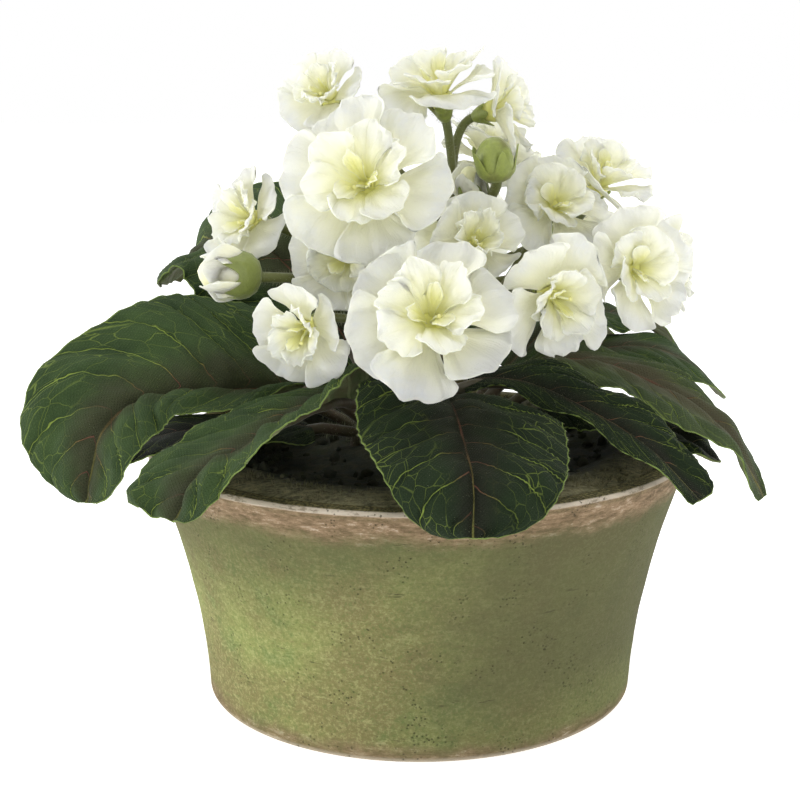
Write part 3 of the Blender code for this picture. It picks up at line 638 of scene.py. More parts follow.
@dataclass(frozen=True)
class ClayFinish:
    """Old terracotta under a film of moss, worn bare below the rim and at the heel, with painted
    shade on its right side and upper part and a painted highlight along the rim.
    """

    moss: Colour = (0.265, 0.295, 0.095)
    shade: Colour = (0.225, 0.195, 0.078)
    green: Colour = (0.135, 0.20, 0.06)
    olive: Colour = (0.47, 0.48, 0.21)
    bare: Colour = (0.30, 0.21, 0.125)
    brick: Colour = (0.14, 0.095, 0.052)
    pale: Colour = (0.60, 0.53, 0.43)
    # Colour of the painted shade on the right side and the upper part.
    painted_shade_tone: Colour = (0.085, 0.082, 0.038)
    dirt: Colour = (0.05, 0.048, 0.022)

    def material(self) -> Material:
        """Make the material.

        Returns:
            The finished material.
        """
        recipe = Recipe("mossy_clay_worn")
        height, radius = recipe.axis("Z"), recipe.radius()
        broad = recipe.lumps(26.0, 5.0, 0.62)
        patch = recipe.lumps(60.0, 5.0, 0.7)
        fine = recipe.lumps(1000.0, 4.0, 0.8)
        drag = recipe.lumps(360.0, 5.0, 0.85, recipe.stretched((0.5, 0.5, 1.8)))
        wander = (recipe.lumps(48.0, 6.0, 0.75) - 0.5) * 12.0
        wavy = height + wander
        # Painted shade: darker on the right side, away from the light, and towards the top under
        # the leaves; a little less near the foot.
        painted_shade_share = (recipe.axis("X") + wander * 4.0).step(-40.0, 30.0, 0.0, 0.86).most(
            height.step(24.0, 62.0, 0.0, 0.76))
        band, heel = wavy.step(58.5, 64.5), wavy.step(1.0, 6.0, 0.75, 0.0)
        worn = band.most(heel) * drag.step(0.25, 0.5, 0.55, 1.0)
        scuff = drag.step(0.54, 0.68) * patch.step(0.42, 0.6, 0.1, 0.75)
        clay = scuff.mix(drag.step(0.36, 0.62).mix(self.brick, self.bare), self.pale)
        rim_top = height.step(66.0, 68.6) * radius.step(73.9, 74.7, 1.0, 0.0)
        # Painted highlight along the rim's outer top edge, partly pale salt on the clay.
        painted_rim_highlight = (height + wander * 0.1).step(67.7, 68.3, 0.0, 0.95) * (
            radius + wander * 0.05).step(73.9, 74.4)
        pits = recipe.cells(900.0).step(0.1, 0.28, 1.0, 0.0)
        speck = pits * recipe.lumps(110.0, 4.0).step(0.5, 0.62)
        nick = recipe.lumps(170.0, 4.0, 0.7, recipe.stretched((0.45, 0.45, 2.6))).step(
            0.27, 0.36, 0.75, 0.0)
        colour = layered(
            broad.step(0.38, 0.62).mix(self.shade, self.moss),
            (patch.step(0.52, 0.66, 0.0, 0.6), self.green),
            (drag.step(0.5, 0.72, 0.0, 0.55), self.olive),
            (fine.step(0.5, 0.64, 0.0, 0.5), self.olive),
            (fine.step(0.36, 0.49, 0.6, 0.0), self.green),
            (drag.step(0.3, 0.47, 0.7, 0.0), self.shade),
            (painted_shade_share * wavy.step(2.0, 24.0, 0.62, 1.0), self.painted_shade_tone),
            (worn, clay),
            (rim_top, fine.step(0.42, 0.66).mix(self.dirt, self.shade)),
            (painted_rim_highlight * drag.step(0.34, 0.5, 0.3, 1.0), self.pale),
            (height.step(0.4, 1.8, 0.6, 0.0), self.pale),
            (speck * 0.7, self.dirt),
            (nick, self.dirt))
        return recipe.done(colour, fine.step(0.2, 0.8, 0.98, 0.78),
                           fine * 0.7 + drag * 1.2 - speck, 0.45, Specular_IOR_Level=0.2)


@dataclass(frozen=True)
class PeatFinish:
    """Dark moist peat with a trace of moss, paler olive towards the rim: partly clay dust, partly
    painted light.
    """

    name: str = "peat_crumbly"
    dark: Colour = (0.024, 0.031, 0.024)
    brown: Colour = (0.068, 0.066, 0.045)
    moss: Colour = (0.045, 0.055, 0.018)
    dust_and_lit_tone: Colour = (0.27, 0.25, 0.14)
    mossiness: float = 0.35

    def material(self) -> Material:
        """Make the material.

        Returns:
            The finished material.
        """
        recipe = Recipe(self.name)
        coarse = recipe.lumps(240.0, 6.0, 0.75)
        mossy = recipe.lumps(70.0, 4.0, 0.7).step(0.45, 0.62, 0.0, self.mossiness)
        grain = recipe.lumps(650.0, 4.0, 0.8, recipe.stretched((0.5, 1.3, 1.0)))
        # Paler olive towards the rim: partly clay dust and partly painted light on the band that
        # the leaves leave open.
        dust_and_painted_light = (recipe.radius() + coarse * 6.0).step(54.0, 70.0) * grain.step(
            0.34, 0.62, 0.2, 1.0)
        colour = layered(coarse.step(0.35, 0.7).mix(self.dark, self.brown),
                         (mossy, self.moss), (dust_and_painted_light, self.dust_and_lit_tone))
        return recipe.done(colour, coarse.step(0.3, 0.7, 0.75, 0.98),
                           coarse + recipe.lumps(900.0, 3.0, 0.7), 0.8, Specular_IOR_Level=0.25)


@dataclass(frozen=True)
class LeafFinish:
    """The velvety upper face of a leaf: green, flushed with bronze along the midrib, with painted
    light on the puffs and painted shade between them.
    """

    tone: Tone
    dark: Colour
    light: Colour
    flush: Colour
    flush_width: float
    vein: Colour = (0.235, 0.315, 0.06)
    rosy: Colour = (0.14, 0.062, 0.042)
    margin: Colour = (0.19, 0.265, 0.065)

    def material(self) -> Material:
        """Make the material.

        Returns:
            The finished material.
        """
        recipe = Recipe("leaf_face_" + self.tone.value)
        side, puff = recipe.value("across"), recipe.value("puff")
        across = side.size()
        cloud = recipe.lumps(75.0, 4.0, 0.6)
        weave = (recipe.value("warp") * 1.1).line(0.42).most(
            (recipe.value("weft") * 1.1).line(0.42))
        spread = across + cloud * 0.5
        flush = spread.step(0.2 + 0.3 * self.flush_width, 0.45 + self.flush_width, 0.65, 0.0)
        wander = (recipe.lumps(110.0, 2.0) - 0.5) * 0.6
        path = recipe.value("vein") + wander
        strength = recipe.lumps(65.0, 3.0).step(0.36, 0.6, 0.25, 0.95)
        mesh = recipe.combined(path * 2.4, side * 4.6 + wander * 1.5)
        net = recipe.cells(1.0, "DISTANCE_TO_EDGE", mesh).step(
            0.0, 0.03, 0.5, 0.0) * across.step(0.2, 0.65, 0.1, 1.0)
        lines = path.line(0.028).most(net) * strength
        rib = recipe.value("rib").step(0.12, 0.45, 0.8, 0.0) * recipe.lumps(120.0, 2.0).step(
            0.38, 0.58, 0.25, 0.9)
        colour = layered(
            cloud.step(0.3, 0.7).mix(self.dark, self.light),
            # Painted light on the tops of the puffs between the veins, and painted shade in the
            # valleys.
            (puff * 0.4, self.light),
            (puff.step(0.0, 0.45, 0.55, 0.0), self.dark),
            (weave * 0.4, self.dark),
            (flush, self.flush),
            (lines, spread.step(0.3, 0.75).mix(self.rosy, self.vein)),
            (rib, recipe.value("along").step(0.5, 1.0, 0.0, 0.5).mix(self.rosy, self.vein)),
            (recipe.value("edge").step(0.982, 0.996, 0.0, 0.85), self.margin))
        return recipe.done(colour, cloud.step(0.2, 0.8, 0.6, 0.76), weave * -0.5 - lines * 1.1,
                           0.3, Specular_IOR_Level=0.14, Sheen_Weight=0.02,
                           Sheen_Roughness=0.4, Sheen_Tint=(0.6, 0.85, 0.4))


@dataclass(frozen=True)
class LeafBackFinish:
    """The pale underside of a leaf, with its veins proud."""

    pale: Colour = (0.125, 0.17, 0.07)
    rosy: Colour = (0.15, 0.10, 0.06)
    vein: Colour = (0.24, 0.29, 0.13)

    def material(self) -> Material:
        """Make the material.

        Returns:
            The finished material.
        """
        recipe = Recipe("leaf_back")
        cloud = recipe.lumps(90.0, 4.0, 0.6)
        main = recipe.value("vein").line(0.1)
        colour = layered(cloud.step(0.35, 0.7, 0.0, 0.6).mix(self.pale, self.rosy),
                         (main * 0.6, self.vein))
        return recipe.done(colour, cloud.step(0.2, 0.8, 0.6, 0.75),
                           main + recipe.lumps(800.0, 3.0), 0.3, Specular_IOR_Level=0.2,
                           Sheen_Weight=0.08, Sheen_Roughness=0.5, Sheen_Tint=(0.7, 0.85, 0.5))


@dataclass(frozen=True)
class StalkFinish:
    """Olive stems, flushed pinkish brown towards the foot, with greener calyces and buds."""

    name: str = "stalk_flushed"
    green: Colour = (0.115, 0.14, 0.04)
    rosy: Colour = (0.16, 0.085, 0.05)
    sepal: Colour = (0.26, 0.31, 0.07)
    ripe: Colour = (0.13, 0.11, 0.04)

    def material(self) -> Material:
        """Make the material.

        Returns:
            The finished material.
        """
        recipe = Recipe(self.name)
        cloud = recipe.lumps(160.0, 4.0, 0.6)
        ribs = recipe.lumps(700.0, 3.0, 0.6)
        flush = recipe.value("rosy") * cloud.step(0.25, 0.7, 0.4, 1.0)
        sepal = cloud.step(0.5, 0.7, 0.0, 0.6).mix(self.sepal, self.ripe)
        colour = layered(flush.mix(self.green, self.rosy),
                         (recipe.value("sepal") * ribs.step(0.3, 0.7, 0.7, 1.0), sepal))
        return recipe.done(colour, cloud.step(0.2, 0.8, 0.42, 0.6), ribs, 0.25,
                           Specular_IOR_Level=0.4, Sheen_Weight=0.2, Sheen_Roughness=0.4)


@dataclass(frozen=True)
class PetalFinish:
    """Thin creamy petals, yellow-green at the throat and faintly blue towards the margin."""

    cream: Colour = (0.85, 0.84, 0.54)
    cool: Colour = (0.76, 0.78, 0.67)
    blue: Colour = (0.71, 0.755, 0.73)
    glow: Colour = (0.90, 0.89, 0.28)
    warm: Colour = (0.93, 0.93, 0.60)
    streak: Colour = (0.76, 0.77, 0.52)
    rim: Colour = (0.84, 0.86, 0.66)

    def material(self) -> Material:
        """Make the material.

        Returns:
            The finished material.
        """
        recipe = Recipe("petal_silky")
        along, across = recipe.value("along"), recipe.value("across")
        glow = recipe.value("glow")
        cloud = recipe.lumps(120.0, 3.0, 0.6)
        streaks = recipe.lumps(1.0, 3.0, 0.6, recipe.combined(across * 9.0, along * 1.4))
        bruise = recipe.lumps(70.0, 4.0, 0.65).step(0.48, 0.68) * along.step(
            0.4, 0.95, 0.0, 0.65)
        colour = layered(
            along.step(0.45, 0.95, 0.0, 0.9).mix(self.cream, self.cool),
            (bruise, self.blue),
            (glow.step(0.08, 0.42), self.warm),
            (glow.step(0.3, 0.85, 0.0, 0.92), self.glow),
            (streaks.step(0.45, 0.75, 0.0, 0.16) * along.step(0.1, 0.6), self.streak),
            # Paler margin: painted light where the thin edge lets light through.
            (recipe.value("edge").step(0.95, 0.995, 0.0, 0.5), self.rim))
        return recipe.done(colour, cloud.step(0.2, 0.8, 0.42, 0.56),
                           streaks + recipe.lumps(1500.0, 2.0) * 0.35, 0.35,
                           Specular_IOR_Level=0.35, Sheen_Weight=0.08, Sheen_Roughness=0.35,
                           Subsurface_Weight=0.8, Subsurface_Scale=0.005,
                           Subsurface_Radius=(1.0, 1.0, 0.8))


@dataclass(frozen=True)
class PistilFinish:
    """The pale style and its knob in the throat of a bloom."""

    pale: Colour = (0.86, 0.87, 0.70)
    knob: Colour = (0.72, 0.70, 0.30)

    def material(self) -> Material:
        """Make the material.

        Returns:
            The finished material.
        """
        recipe = Recipe("pistil_pale")
        fine = recipe.lumps(1800.0, 2.0)
        colour = layered(recipe.value("along").step(0.9, 1.0).mix(self.pale, self.knob),
                         (fine.step(0.4, 0.7, 0.0, 0.2), self.knob))
        return recipe.done(colour, fine.step(0.3, 0.7, 0.35, 0.5), fine, 0.1,
                           Specular_IOR_Level=0.45)


@dataclass(frozen=True)
class HairFinish:
    """Fine hairs, silvery where the light meets them."""

    silver: Colour = (0.30, 0.34, 0.20)
    warm: Colour = (0.20, 0.19, 0.10)

    def material(self) -> Material:
        """Make the material.

        Returns:
            The finished material.
        """
        recipe = Recipe("plant_hair")
        cloud = recipe.lumps(300.0, 2.0)
        return recipe.done(cloud.step(0.35, 0.65).mix(self.silver, self.warm),
                           cloud.step(0.3, 0.7, 0.35, 0.5), cloud, 0.05, Specular_IOR_Level=0.5)


@dataclass(frozen=True)
class FloorFinish:
    """A pale matt studio floor, lit from below like a light table."""

    pale: Colour = (0.86, 0.86, 0.86)
    worn: Colour = (0.82, 0.82, 0.81)
    glow: float = 0.8

    def material(self) -> Material:
        """Make the material.

        Returns:
            The finished material.
        """
        recipe = Recipe("studio_floor")
        fine = recipe.lumps(40.0, 3.0)
        return recipe.done(fine.step(0.3, 0.7, 0.0, 0.1).mix(self.pale, self.worn), 0.9, fine,
                           0.05, Specular_IOR_Level=0.1, Emission_Color=self.pale,
                           Emission_Strength=self.glow)


# --- Pot and soil


@dataclass(frozen=True)
class Pot:
    """The flared clay pan and the soil in it."""

    height: float = 69.2
    rim_radius: float = 75.0
    base_radius: float = 59.9
    straight_share: float = 0.086
    flare_power: float = 1.776
    wall: float = 6.2
    floor: float = 8.0
    heel: float = 1.2
    rim_round: float = 1.6
    drain_holes: int = 3
    drain_radius: float = 4.0
    drain_circle: float = 24.0
    sides: int = 216
    soil_top: tuple[Pair, ...] = ((67.4, 68.2), (62.0, 69.4), (56.0, 69.6), (47.0, 66.4),
                                  (33.0, 65.8), (22.0, 68.2), (9.0, 70.6), (0.0, 71.2))
    soil_seed: int = 31
    soil_gap: float = 0.6
    soil_wall_top: float = 67.4
    soil_edge: float = 67.2
    soil_sides: int = 160
    soil_rows: int = 52
    crumbs: int = 420
    tufts: int = 260
    blades_a_tuft: int = 9

    def wall_radius(self, height: np.ndarray | float) -> np.ndarray | float:
        """Outer radius at a height."""
        share = np.clip(height / self.height, 0.0, 1.0)
        flare = self.straight_share * share + (1.0 - self.straight_share) * share**self.flare_power
        return self.base_radius + (self.rim_radius - self.base_radius) * flare

    def outline(self) -> np.ndarray:
        """The pan's section, from the middle of its underside to the middle of its floor.

        Returns:
            Rows of radius and height.
        """
        shoulder = self.height - self.rim_round
        rows = [(0.0, 0.0)]
        rows.extend((radius, 0.0) for radius in np.linspace(6.0, self.base_radius - self.heel, 12))
        for turn in np.linspace(0.0, 0.5 * math.pi, 5)[1:]:
            rows.append((self.base_radius - self.heel + self.heel * math.sin(turn),
                         self.heel * (1.0 - math.cos(turn))))
        for height in np.linspace(self.heel, shoulder, 46)[1:]:
            rows.append((float(self.wall_radius(height)), height))
        for turn in np.linspace(0.0, 0.5 * math.pi, 6)[1:]:
            rows.append((self.rim_radius - self.rim_round * (1.0 - math.cos(turn)),
                         shoulder + self.rim_round * math.sin(turn)))
        inner = self.rim_radius - self.wall
        for turn in np.linspace(0.0, 0.5 * math.pi, 6):
            rows.append((inner + self.rim_round * (1.0 - math.sin(turn)),
                         shoulder + self.rim_round * math.cos(turn)))
        for height in np.linspace(shoulder, self.floor, 26)[1:]:
            rows.append((float(self.wall_radius(height)) - self.wall, height))
        rows.extend((radius, self.floor) for radius in np.linspace(48.0, 6.0, 9))
        rows.append((0.0, self.floor))
        return np.array(rows)

    def drill(self, pan: bpy.types.Object) -> None:
        """Cut the drain holes through the pan's floor.

        Args:
            pan: The pan, whose mesh is replaced.
        """
        cutter = Skin()
        for k in range(self.drain_holes):
            turn = 2.0 * math.pi * (k + 0.25) / self.drain_holes
            middle = np.array((math.cos(turn), math.sin(turn), 0.0)) * self.drain_circle
            cutter.tube(np.array([middle - UP * self.floor, middle + UP * 2 * self.floor]),
                        np.full(2, self.drain_radius), 32)
        drill = cutter.build("drain_cutter", [])
        cut = pan.modifiers.new("drain", "BOOLEAN")
        cut.operation = "DIFFERENCE"
        cut.object = drill
        cut.solver = "EXACT"
        graph = bpy.context.evaluated_depsgraph_get()
        bored = bpy.data.meshes.new_from_object(pan.evaluated_get(graph))
        pan.modifiers.clear()
        pan.data = bored
        bpy.data.objects.remove(drill, do_unlink=True)

    def build_pan(self) -> bpy.types.Object:
        """Turn the pan, roughen its skin a little and drill its drain holes.

        Returns:
            The pan.
        """
        skin = Skin()
        skin.turned(self.outline(), np.eye(3), np.zeros(3), self.sides)
        points = np.concatenate(skin.points)
        across = unit(points * (1.0, 1.0, 0.0))
        lumps = 0.16 * fractal(points, 26.0) + 0.07 * fractal(points, 4.0, 2)
        lumps *= smooth(points[:, 2], 0.2, 4.0) * smooth(np.hypot(*points.T[:2]), 40.0, 55.0)
        chips = np.clip(fractal(points + 40.0, 5.0, 2) - 0.42, 0.0, 1.0)
        rim = smooth(points[:, 2], self.height - 2.2, self.height)
        points = points + across * (lumps - 1.0 * rim * chips)[:, None]
        points[:, 2] -= rim * (1.4 * chips + 0.12 * np.abs(lumps))
        skin.points = [points]
        pan = skin.build("pan", [ClayFinish().material()], 50.0)
        self.drill(pan)
        return pan

    def soil_height(self, radius: np.ndarray) -> np.ndarray:
        """Height of the soil at a distance from the middle."""
        rows = np.array(self.soil_top)[::-1]
        return np.interp(radius, rows[:, 0], rows[:, 1])

    def build_soil(self) -> bpy.types.Object:
        """Make the lumpy soil that fills the pan.

        Returns:
            The soil.
        """
        skin = Skin()
        fit = self.wall + self.soil_gap
        rows = [(0.0, self.floor + GAP)]
        for height in np.linspace(self.floor + GAP, self.soil_wall_top, 8):
            rows.append((float(self.wall_radius(height)) - fit, height))
        for radius in np.linspace(self.soil_edge, 1.0, self.soil_rows):
            rows.append((radius, float(self.soil_height(np.array(radius)))))
        rows.append((0.0, self.soil_top[-1][1]))
        skin.turned(np.array(rows), np.eye(3), np.zeros(3), self.soil_sides)
        points = np.concatenate(skin.points)
        radius = np.hypot(*points.T[:2])
        top = smooth(points[:, 2], 64.0, 65.5) * smooth(radius, 68.2, 65.5)
        points[:, 2] += top * (0.9 * fractal(points, 9.0, 3) + 0.45 * fractal(points, 2.2, 2))
        skin.points = [points]
        return skin.build("soil_bed", [PeatFinish().material()], 80.0)

    def build_crumbs(self) -> bpy.types.Object:
        """Scatter crumbs of peat and tufts of moss over the soil.

        Returns:
            The crumbs and tufts in one piece.
        """
        draw = random.Random(self.soil_seed)
        skin = Skin()
        ball = bmesh.new()
        bmesh.ops.create_icosphere(ball, subdivisions=1, radius=1.0)
        shape = np.array([vertex.co[:] for vertex in ball.verts])
        faces = np.array([[vertex.index for vertex in face.verts] for face in ball.faces])
        ball.free()
        for _ in range(self.crumbs):
            radius, turn = 66.0 * math.sqrt(draw.uniform(0.12, 1.0)), draw.uniform(0.0, 6.283)
            size = draw.uniform(0.5, 1.9) * (0.4 if radius > 52.0 else 1.0)
            centre = np.array((radius * math.cos(turn), radius * math.sin(turn), 0.0))
            centre[2] = float(self.soil_height(np.array(radius))) + 0.25 * size
            bent = shape * [draw.uniform(0.6, 1.2) * size for _ in range(3)]
            bent *= 1.0 + 0.25 * np.array([draw.uniform(-1.0, 1.0) for _ in shape])[:, None]
            skin.lay(skin.add(bent + centre)[faces])
        self.add_tufts(skin, draw)
        moss = PeatFinish("peat_mossy", mossiness=0.95)
        return skin.build("soil_crumbs", [PeatFinish().material(), moss.material()], 60.0)

    def add_tufts(self, skin: Skin, draw: random.Random) -> None:
        """Add tufts of moss along the rim.

        Args:
            skin: The crumbs' skin.
            draw: Draws for their places and leans.
        """
        roots, leans, lengths = [], [], []
        for _ in range(self.tufts):
            radius, turn = draw.uniform(58.0, 66.6), draw.uniform(0.0, 6.283)
            for _ in range(self.blades_a_tuft):
                spot = np.array((radius * math.cos(turn), radius * math.sin(turn), 0.0))
                spot += (draw.gauss(0.0, 0.7), draw.gauss(0.0, 0.7), 0.0)
                spot[2] = float(self.soil_height(np.hypot(spot[0], spot[1]))) - 0.3
                roots.append(spot)
                leans.append((draw.gauss(0.0, 0.45), draw.gauss(0.0, 0.45), 1.0))
                lengths.append(draw.uniform(0.8, 2.0))
        skin.hairs(np.array(roots), unit(np.array(leans)), np.array(lengths), 0.22, 1)

    def dress(self) -> None:
        """Build the pan, the soil and its crumbs, and tie them to the part."""
        settle(self.build_pan(), Slot.CLAY, "pot")
        settle(self.build_soil(), Slot.PEAT, "soil")
        settle(self.build_crumbs(), Slot.PEAT)


# --- Blooms


@dataclass(frozen=True)
class Flower:
    """What a bloom and a bud share: a middle, a way to face and a radius."""

    name: str
    face: Place
    facing: Place
    radius: float

    @property
    def axis(self) -> np.ndarray:
        """Unit vector out of the face, away from the stem."""
        return unit(np.array(self.facing, float))


@dataclass(frozen=True)
class Petal:
    """One petal, in its bloom's own axes.

    It leaves the root, a radius and a height, towards the azimuth. Its midrib is an arc from the
    slope start to the slope end. wedge and bulge give its half width as shares of the distance
    from the axis; cup, tilt, ruffle and frill lift its surface, and sway bends it sideways.
    """

    azimuth: float
    root: Pair
    length: float
    wedge: float
    bulge: float
    start: float
    end: float
    cup: float
    tilt: float
    sway: float
    ruffle: float
    phase: float
    frill: float = 0.0
    frills: float = 5.0
    scallop: float = 0.0
    round_tip: float = 0.1

    def at(self, share: np.ndarray, side: np.ndarray) -> np.ndarray:
        """Points on the petal's middle surface.

        Args:
            share: Shares of the length, 0 to 1.
            side: Places across, -1 to 1.

        Returns:
            The points.
        """
        notch = self.scallop * share**4 * np.sin(self.frills * math.pi * side + 2.0 * self.phase)
        reach = share * (1.0 - (0.3 + 0.05 * side * side) * side * side * share) * (1.0 + notch)
        along, rise = arc(self.start, self.end, reach)
        slope = np.radians(self.start + (self.end - self.start) * reach)
        span = self.root[0] + along * self.length
        swell = np.sin(math.pi * np.clip(reach, 0.0, 1.0)**2.2)**2
        width = span * (self.wedge + self.bulge * swell)
        tip = np.clip((share - 0.5) / 0.5, 0.0, 1.0)
        width = width * np.sqrt(1.0 - self.round_tip * tip**2)
        lift = self.cup * side * side * width + self.tilt * side * width
        lift += self.ruffle * reach**2 * np.sin(2.6 * math.pi * side + self.phase)
        margin = np.maximum(share**3, np.abs(side)**3 * share)
        wave = np.sin(self.frills * math.pi * side + 3.1 * math.pi * share + self.phase)
        wave += 0.4 * np.sin(2.3 * self.frills * math.pi * side - 2.0 * self.phase)
        lift += self.frill * margin * wave
        lift += 0.02 * span * share * np.exp(-(side / 0.16)**2) * (1.0 - share)
        radius = span - np.sin(slope) * lift
        height = self.root[1] + rise * self.length + np.cos(slope) * lift
        aside = self.sway * reach**2 - side * width
        turn = math.radians(self.azimuth)
        return np.stack([radius * math.cos(turn) - aside * math.sin(turn),
                         radius * math.sin(turn) + aside * math.cos(turn), height], axis=-1)


@dataclass(frozen=True)
class Whorl:
    """The rule for one whorl of petals, as in the part's source."""

    reach: float
    root: Pair
    wedge: float
    bulge: float
    start: float
    end: float
    cup: float
    tilt: float
    ruffle: float
    grid: tuple[int, int]
    frill: float


WHORLS = (
    Whorl(1.0, (3.3, 3.8), 0.92, 0.4, 34.0, -10.0, 0.08, 0.27, 0.05, (24, 27), 0.036),
    Whorl(0.6, (2.3, 4.6), 0.9, 0.42, 66.0, 27.0, 0.16, 0.26, 0.05, (20, 19), 0.036),
    Whorl(0.28, (1.2, 5.0), 0.9, 0.2, 80.0, 52.0, 0.2, 0.2, 0.03, (13, 11), 0.012),
)


@dataclass(frozen=True)
class Bloom(Flower):
    """One open double bloom: the stalk that carries it, its turn and its petals."""

    stalk: str
    spin: float
    petals: int = 5
    inner: int = 2
    open: float = 0.0
    seed: int = 1
    petal_half: float = 0.3
    margin_half: float = 0.13
    crease: float = 0.032
    full_radius: float = 20.0
    neighbour_share: float = 1.25
    neighbour_gap: float = 0.55

    @property
    def reach(self) -> float:
        """Radius of the space that it keeps from its neighbours."""
        return self.radius

    @property
    def core_share(self) -> float:
        """Size of the core and calyx against a full bloom's."""
        return 0.5 + 0.5 * self.radius / self.full_radius

    @property
    def throat(self) -> np.ndarray:
        """The point where the petals meet."""
        return np.array(self.face) - self.axis * (9.0 * self.radius / self.full_radius)

    @property
    def axes(self) -> np.ndarray:
        """The bloom's axes, as the columns of a matrix."""
        return turned_axes(self.axis, self.spin)

    def petal(self, place: int, k: int, draw: random.Random, extra: random.Random) -> Petal:
        """The petal that grows from one side of a whorl.

        Args:
            place: Number of the whorl, from the outside.
            k: Number of the petal.
            draw: Draws that the part's source makes too.
            extra: Draws for the finer shape.

        Returns:
            The petal.
        """
        whorl = WHORLS[place]
        room = math.pi / self.petals
        root = (whorl.root[0] * math.cos(room) * self.core_share,
                whorl.root[1] * self.core_share)
        span = self.radius * whorl.reach * draw.uniform(0.93, 1.06)
        return Petal(
            azimuth=360.0 * (k + 0.5 * place) / self.petals + draw.uniform(-2.0, 2.0),
            root=root,
            length=(span - root[0]) / float(arc(whorl.start, whorl.end, 1.0)[0]),
            wedge=whorl.wedge * math.tan(room) * (1.0 + 0.006 * self.open),
            bulge=whorl.bulge * math.tan(room) * draw.uniform(0.8, 1.2),
            start=whorl.start - self.open * 0.3 + draw.uniform(-2.0, 2.0),
            end=whorl.end - self.open * 2.0 + draw.uniform(-12.0, 8.0),
            cup=whorl.cup,
            tilt=whorl.tilt + draw.uniform(-0.03, 0.03),
            sway=span * draw.uniform(-0.1, 0.1),
            ruffle=self.radius * whorl.ruffle * draw.uniform(0.6, 1.2),
            phase=draw.uniform(0.0, 6.28),
            frill=self.radius * whorl.frill * extra.uniform(0.7, 1.3),
            frills=extra.uniform(2.2, 4.4),
            scallop=extra.uniform(0.012, 0.035),
        )

    def walls(self) -> list[tuple[np.ndarray, float]]:
        """Planes that part it from its neighbours.

        Returns:
            Outward normals, with the planes' distances from the origin.
        """
        found = []
        here = np.array(self.face, float)
        for other in BLOOMS + BUDS:
            if other is self:
                continue
            apart = np.array(other.face) - here
            distance = float(np.linalg.norm(apart))
            if distance > self.neighbour_share * (self.reach + other.reach):
                continue
            share = (distance**2 + self.reach**2 - other.reach**2) / (2.0 * distance)
            normal = apart / distance
            found.append((normal, float(normal @ here) + share - self.neighbour_gap))
        return found

    def build(self, finishes: list[Material]) -> bpy.types.Object:
        """Build the bloom.

        Args:
            finishes: Materials of its petals and its pistil.

        Returns:
            The bloom.
        """
        draw, extra = random.Random(self.seed), random.Random(700 + self.seed)
        walls = self.walls()
        axes, throat = self.axes, self.throat
        skin = Skin(("along", "across", "edge", "glow"))
        for place, whorl in enumerate(WHORLS):
            rows, columns = whorl.grid
            share, side = np.meshgrid(np.sin(np.linspace(0.02, 0.5 * math.pi, rows)),
                                      np.sin(np.linspace(-0.5, 0.5, columns) * 2.6)
                                      / math.sin(1.3), indexing="ij")
            for k in range(self.petals):
                petal = self.petal(place, k, draw, extra)
                if place == 2 and (k % 2 or k // 2 >= self.inner):
                    continue
                local = petal.at(share, side)
                away = np.hypot(local[..., 0], local[..., 1]) / self.radius
                points = hold_back(local @ axes.T + throat, walls)
                crease = fractal(local.reshape(-1, 3) + 50.0 * k, 7.0, 3).reshape(share.shape)
                crease *= self.crease * self.radius * share
                points = points + surface_normals(points) * crease[..., None]
                edge = np.maximum(np.abs(side), share)
                half = self.petal_half + (self.margin_half - self.petal_half) * edge**3
                skin.shell(points, half, along=share, across=side, edge=edge,
                           glow=np.exp(-(away / 0.31)**2))
        core = np.array(((0.0, -0.7), (2.6, 0.6), (3.5, 2.6), (3.4, 4.0), (2.5, 4.7), (1.4, 4.9),
                         (0.0, 4.4))) * self.core_share
        skin.turned(core, axes, throat, 20, glow=1.0, along=0.0)
        self.add_pistil(skin, extra)
        return skin.build(self.name + "_petals", finishes, 50.0)

    def add_pistil(self, skin: Skin, extra: random.Random) -> None:
        """Add the curved style with its knob.

        Args:
            skin: The bloom's skin.
            extra: Draws for its lean.
        """
        size = self.core_share
        lean = math.radians(extra.uniform(0.0, 360.0))
        aside = np.array((math.cos(lean), math.sin(lean), 0.0))
        local = bezier(np.array((0.0, 0.0, 4.0)) * size, (UP * 6.5 + aside * 1.2) * size,
                       (UP * 8.6 + aside * 0.6) * size, (UP * 10.4 + aside * 2.4) * size, 9)
        path = local @ self.axes.T + self.throat
        skin.tube(path, np.linspace(0.42, 0.3, 9) * size, 8, 1, along=np.linspace(0.0, 0.88, 9))
        knob = np.array(((0.0, -0.5), (0.5, -0.35), (0.66, 0.0), (0.5, 0.35), (0.0, 0.5))) * size
        skin.turned(knob, turned_axes(unit(path[-1] - path[-3])), path[-1], 12, 1, along=1.0)


def hold_back(points: np.ndarray, walls: list[tuple[np.ndarray, float]]) -> np.ndarray:
    """Bend points softly away from the walls that they would pass.

    Args:
        points: Points of a petal.
        walls: Outward normals and reaches.

    Returns:
        The bent points.
    """
    softness = 3.0
    for normal, reach in walls:
        room = reach - points @ normal
        kept = softness * np.exp(np.minimum(room, softness) / softness - 1.0)
        shift = np.where(room < softness, room - kept, 0.0)
        points = points + shift[..., None] * normal
    return points


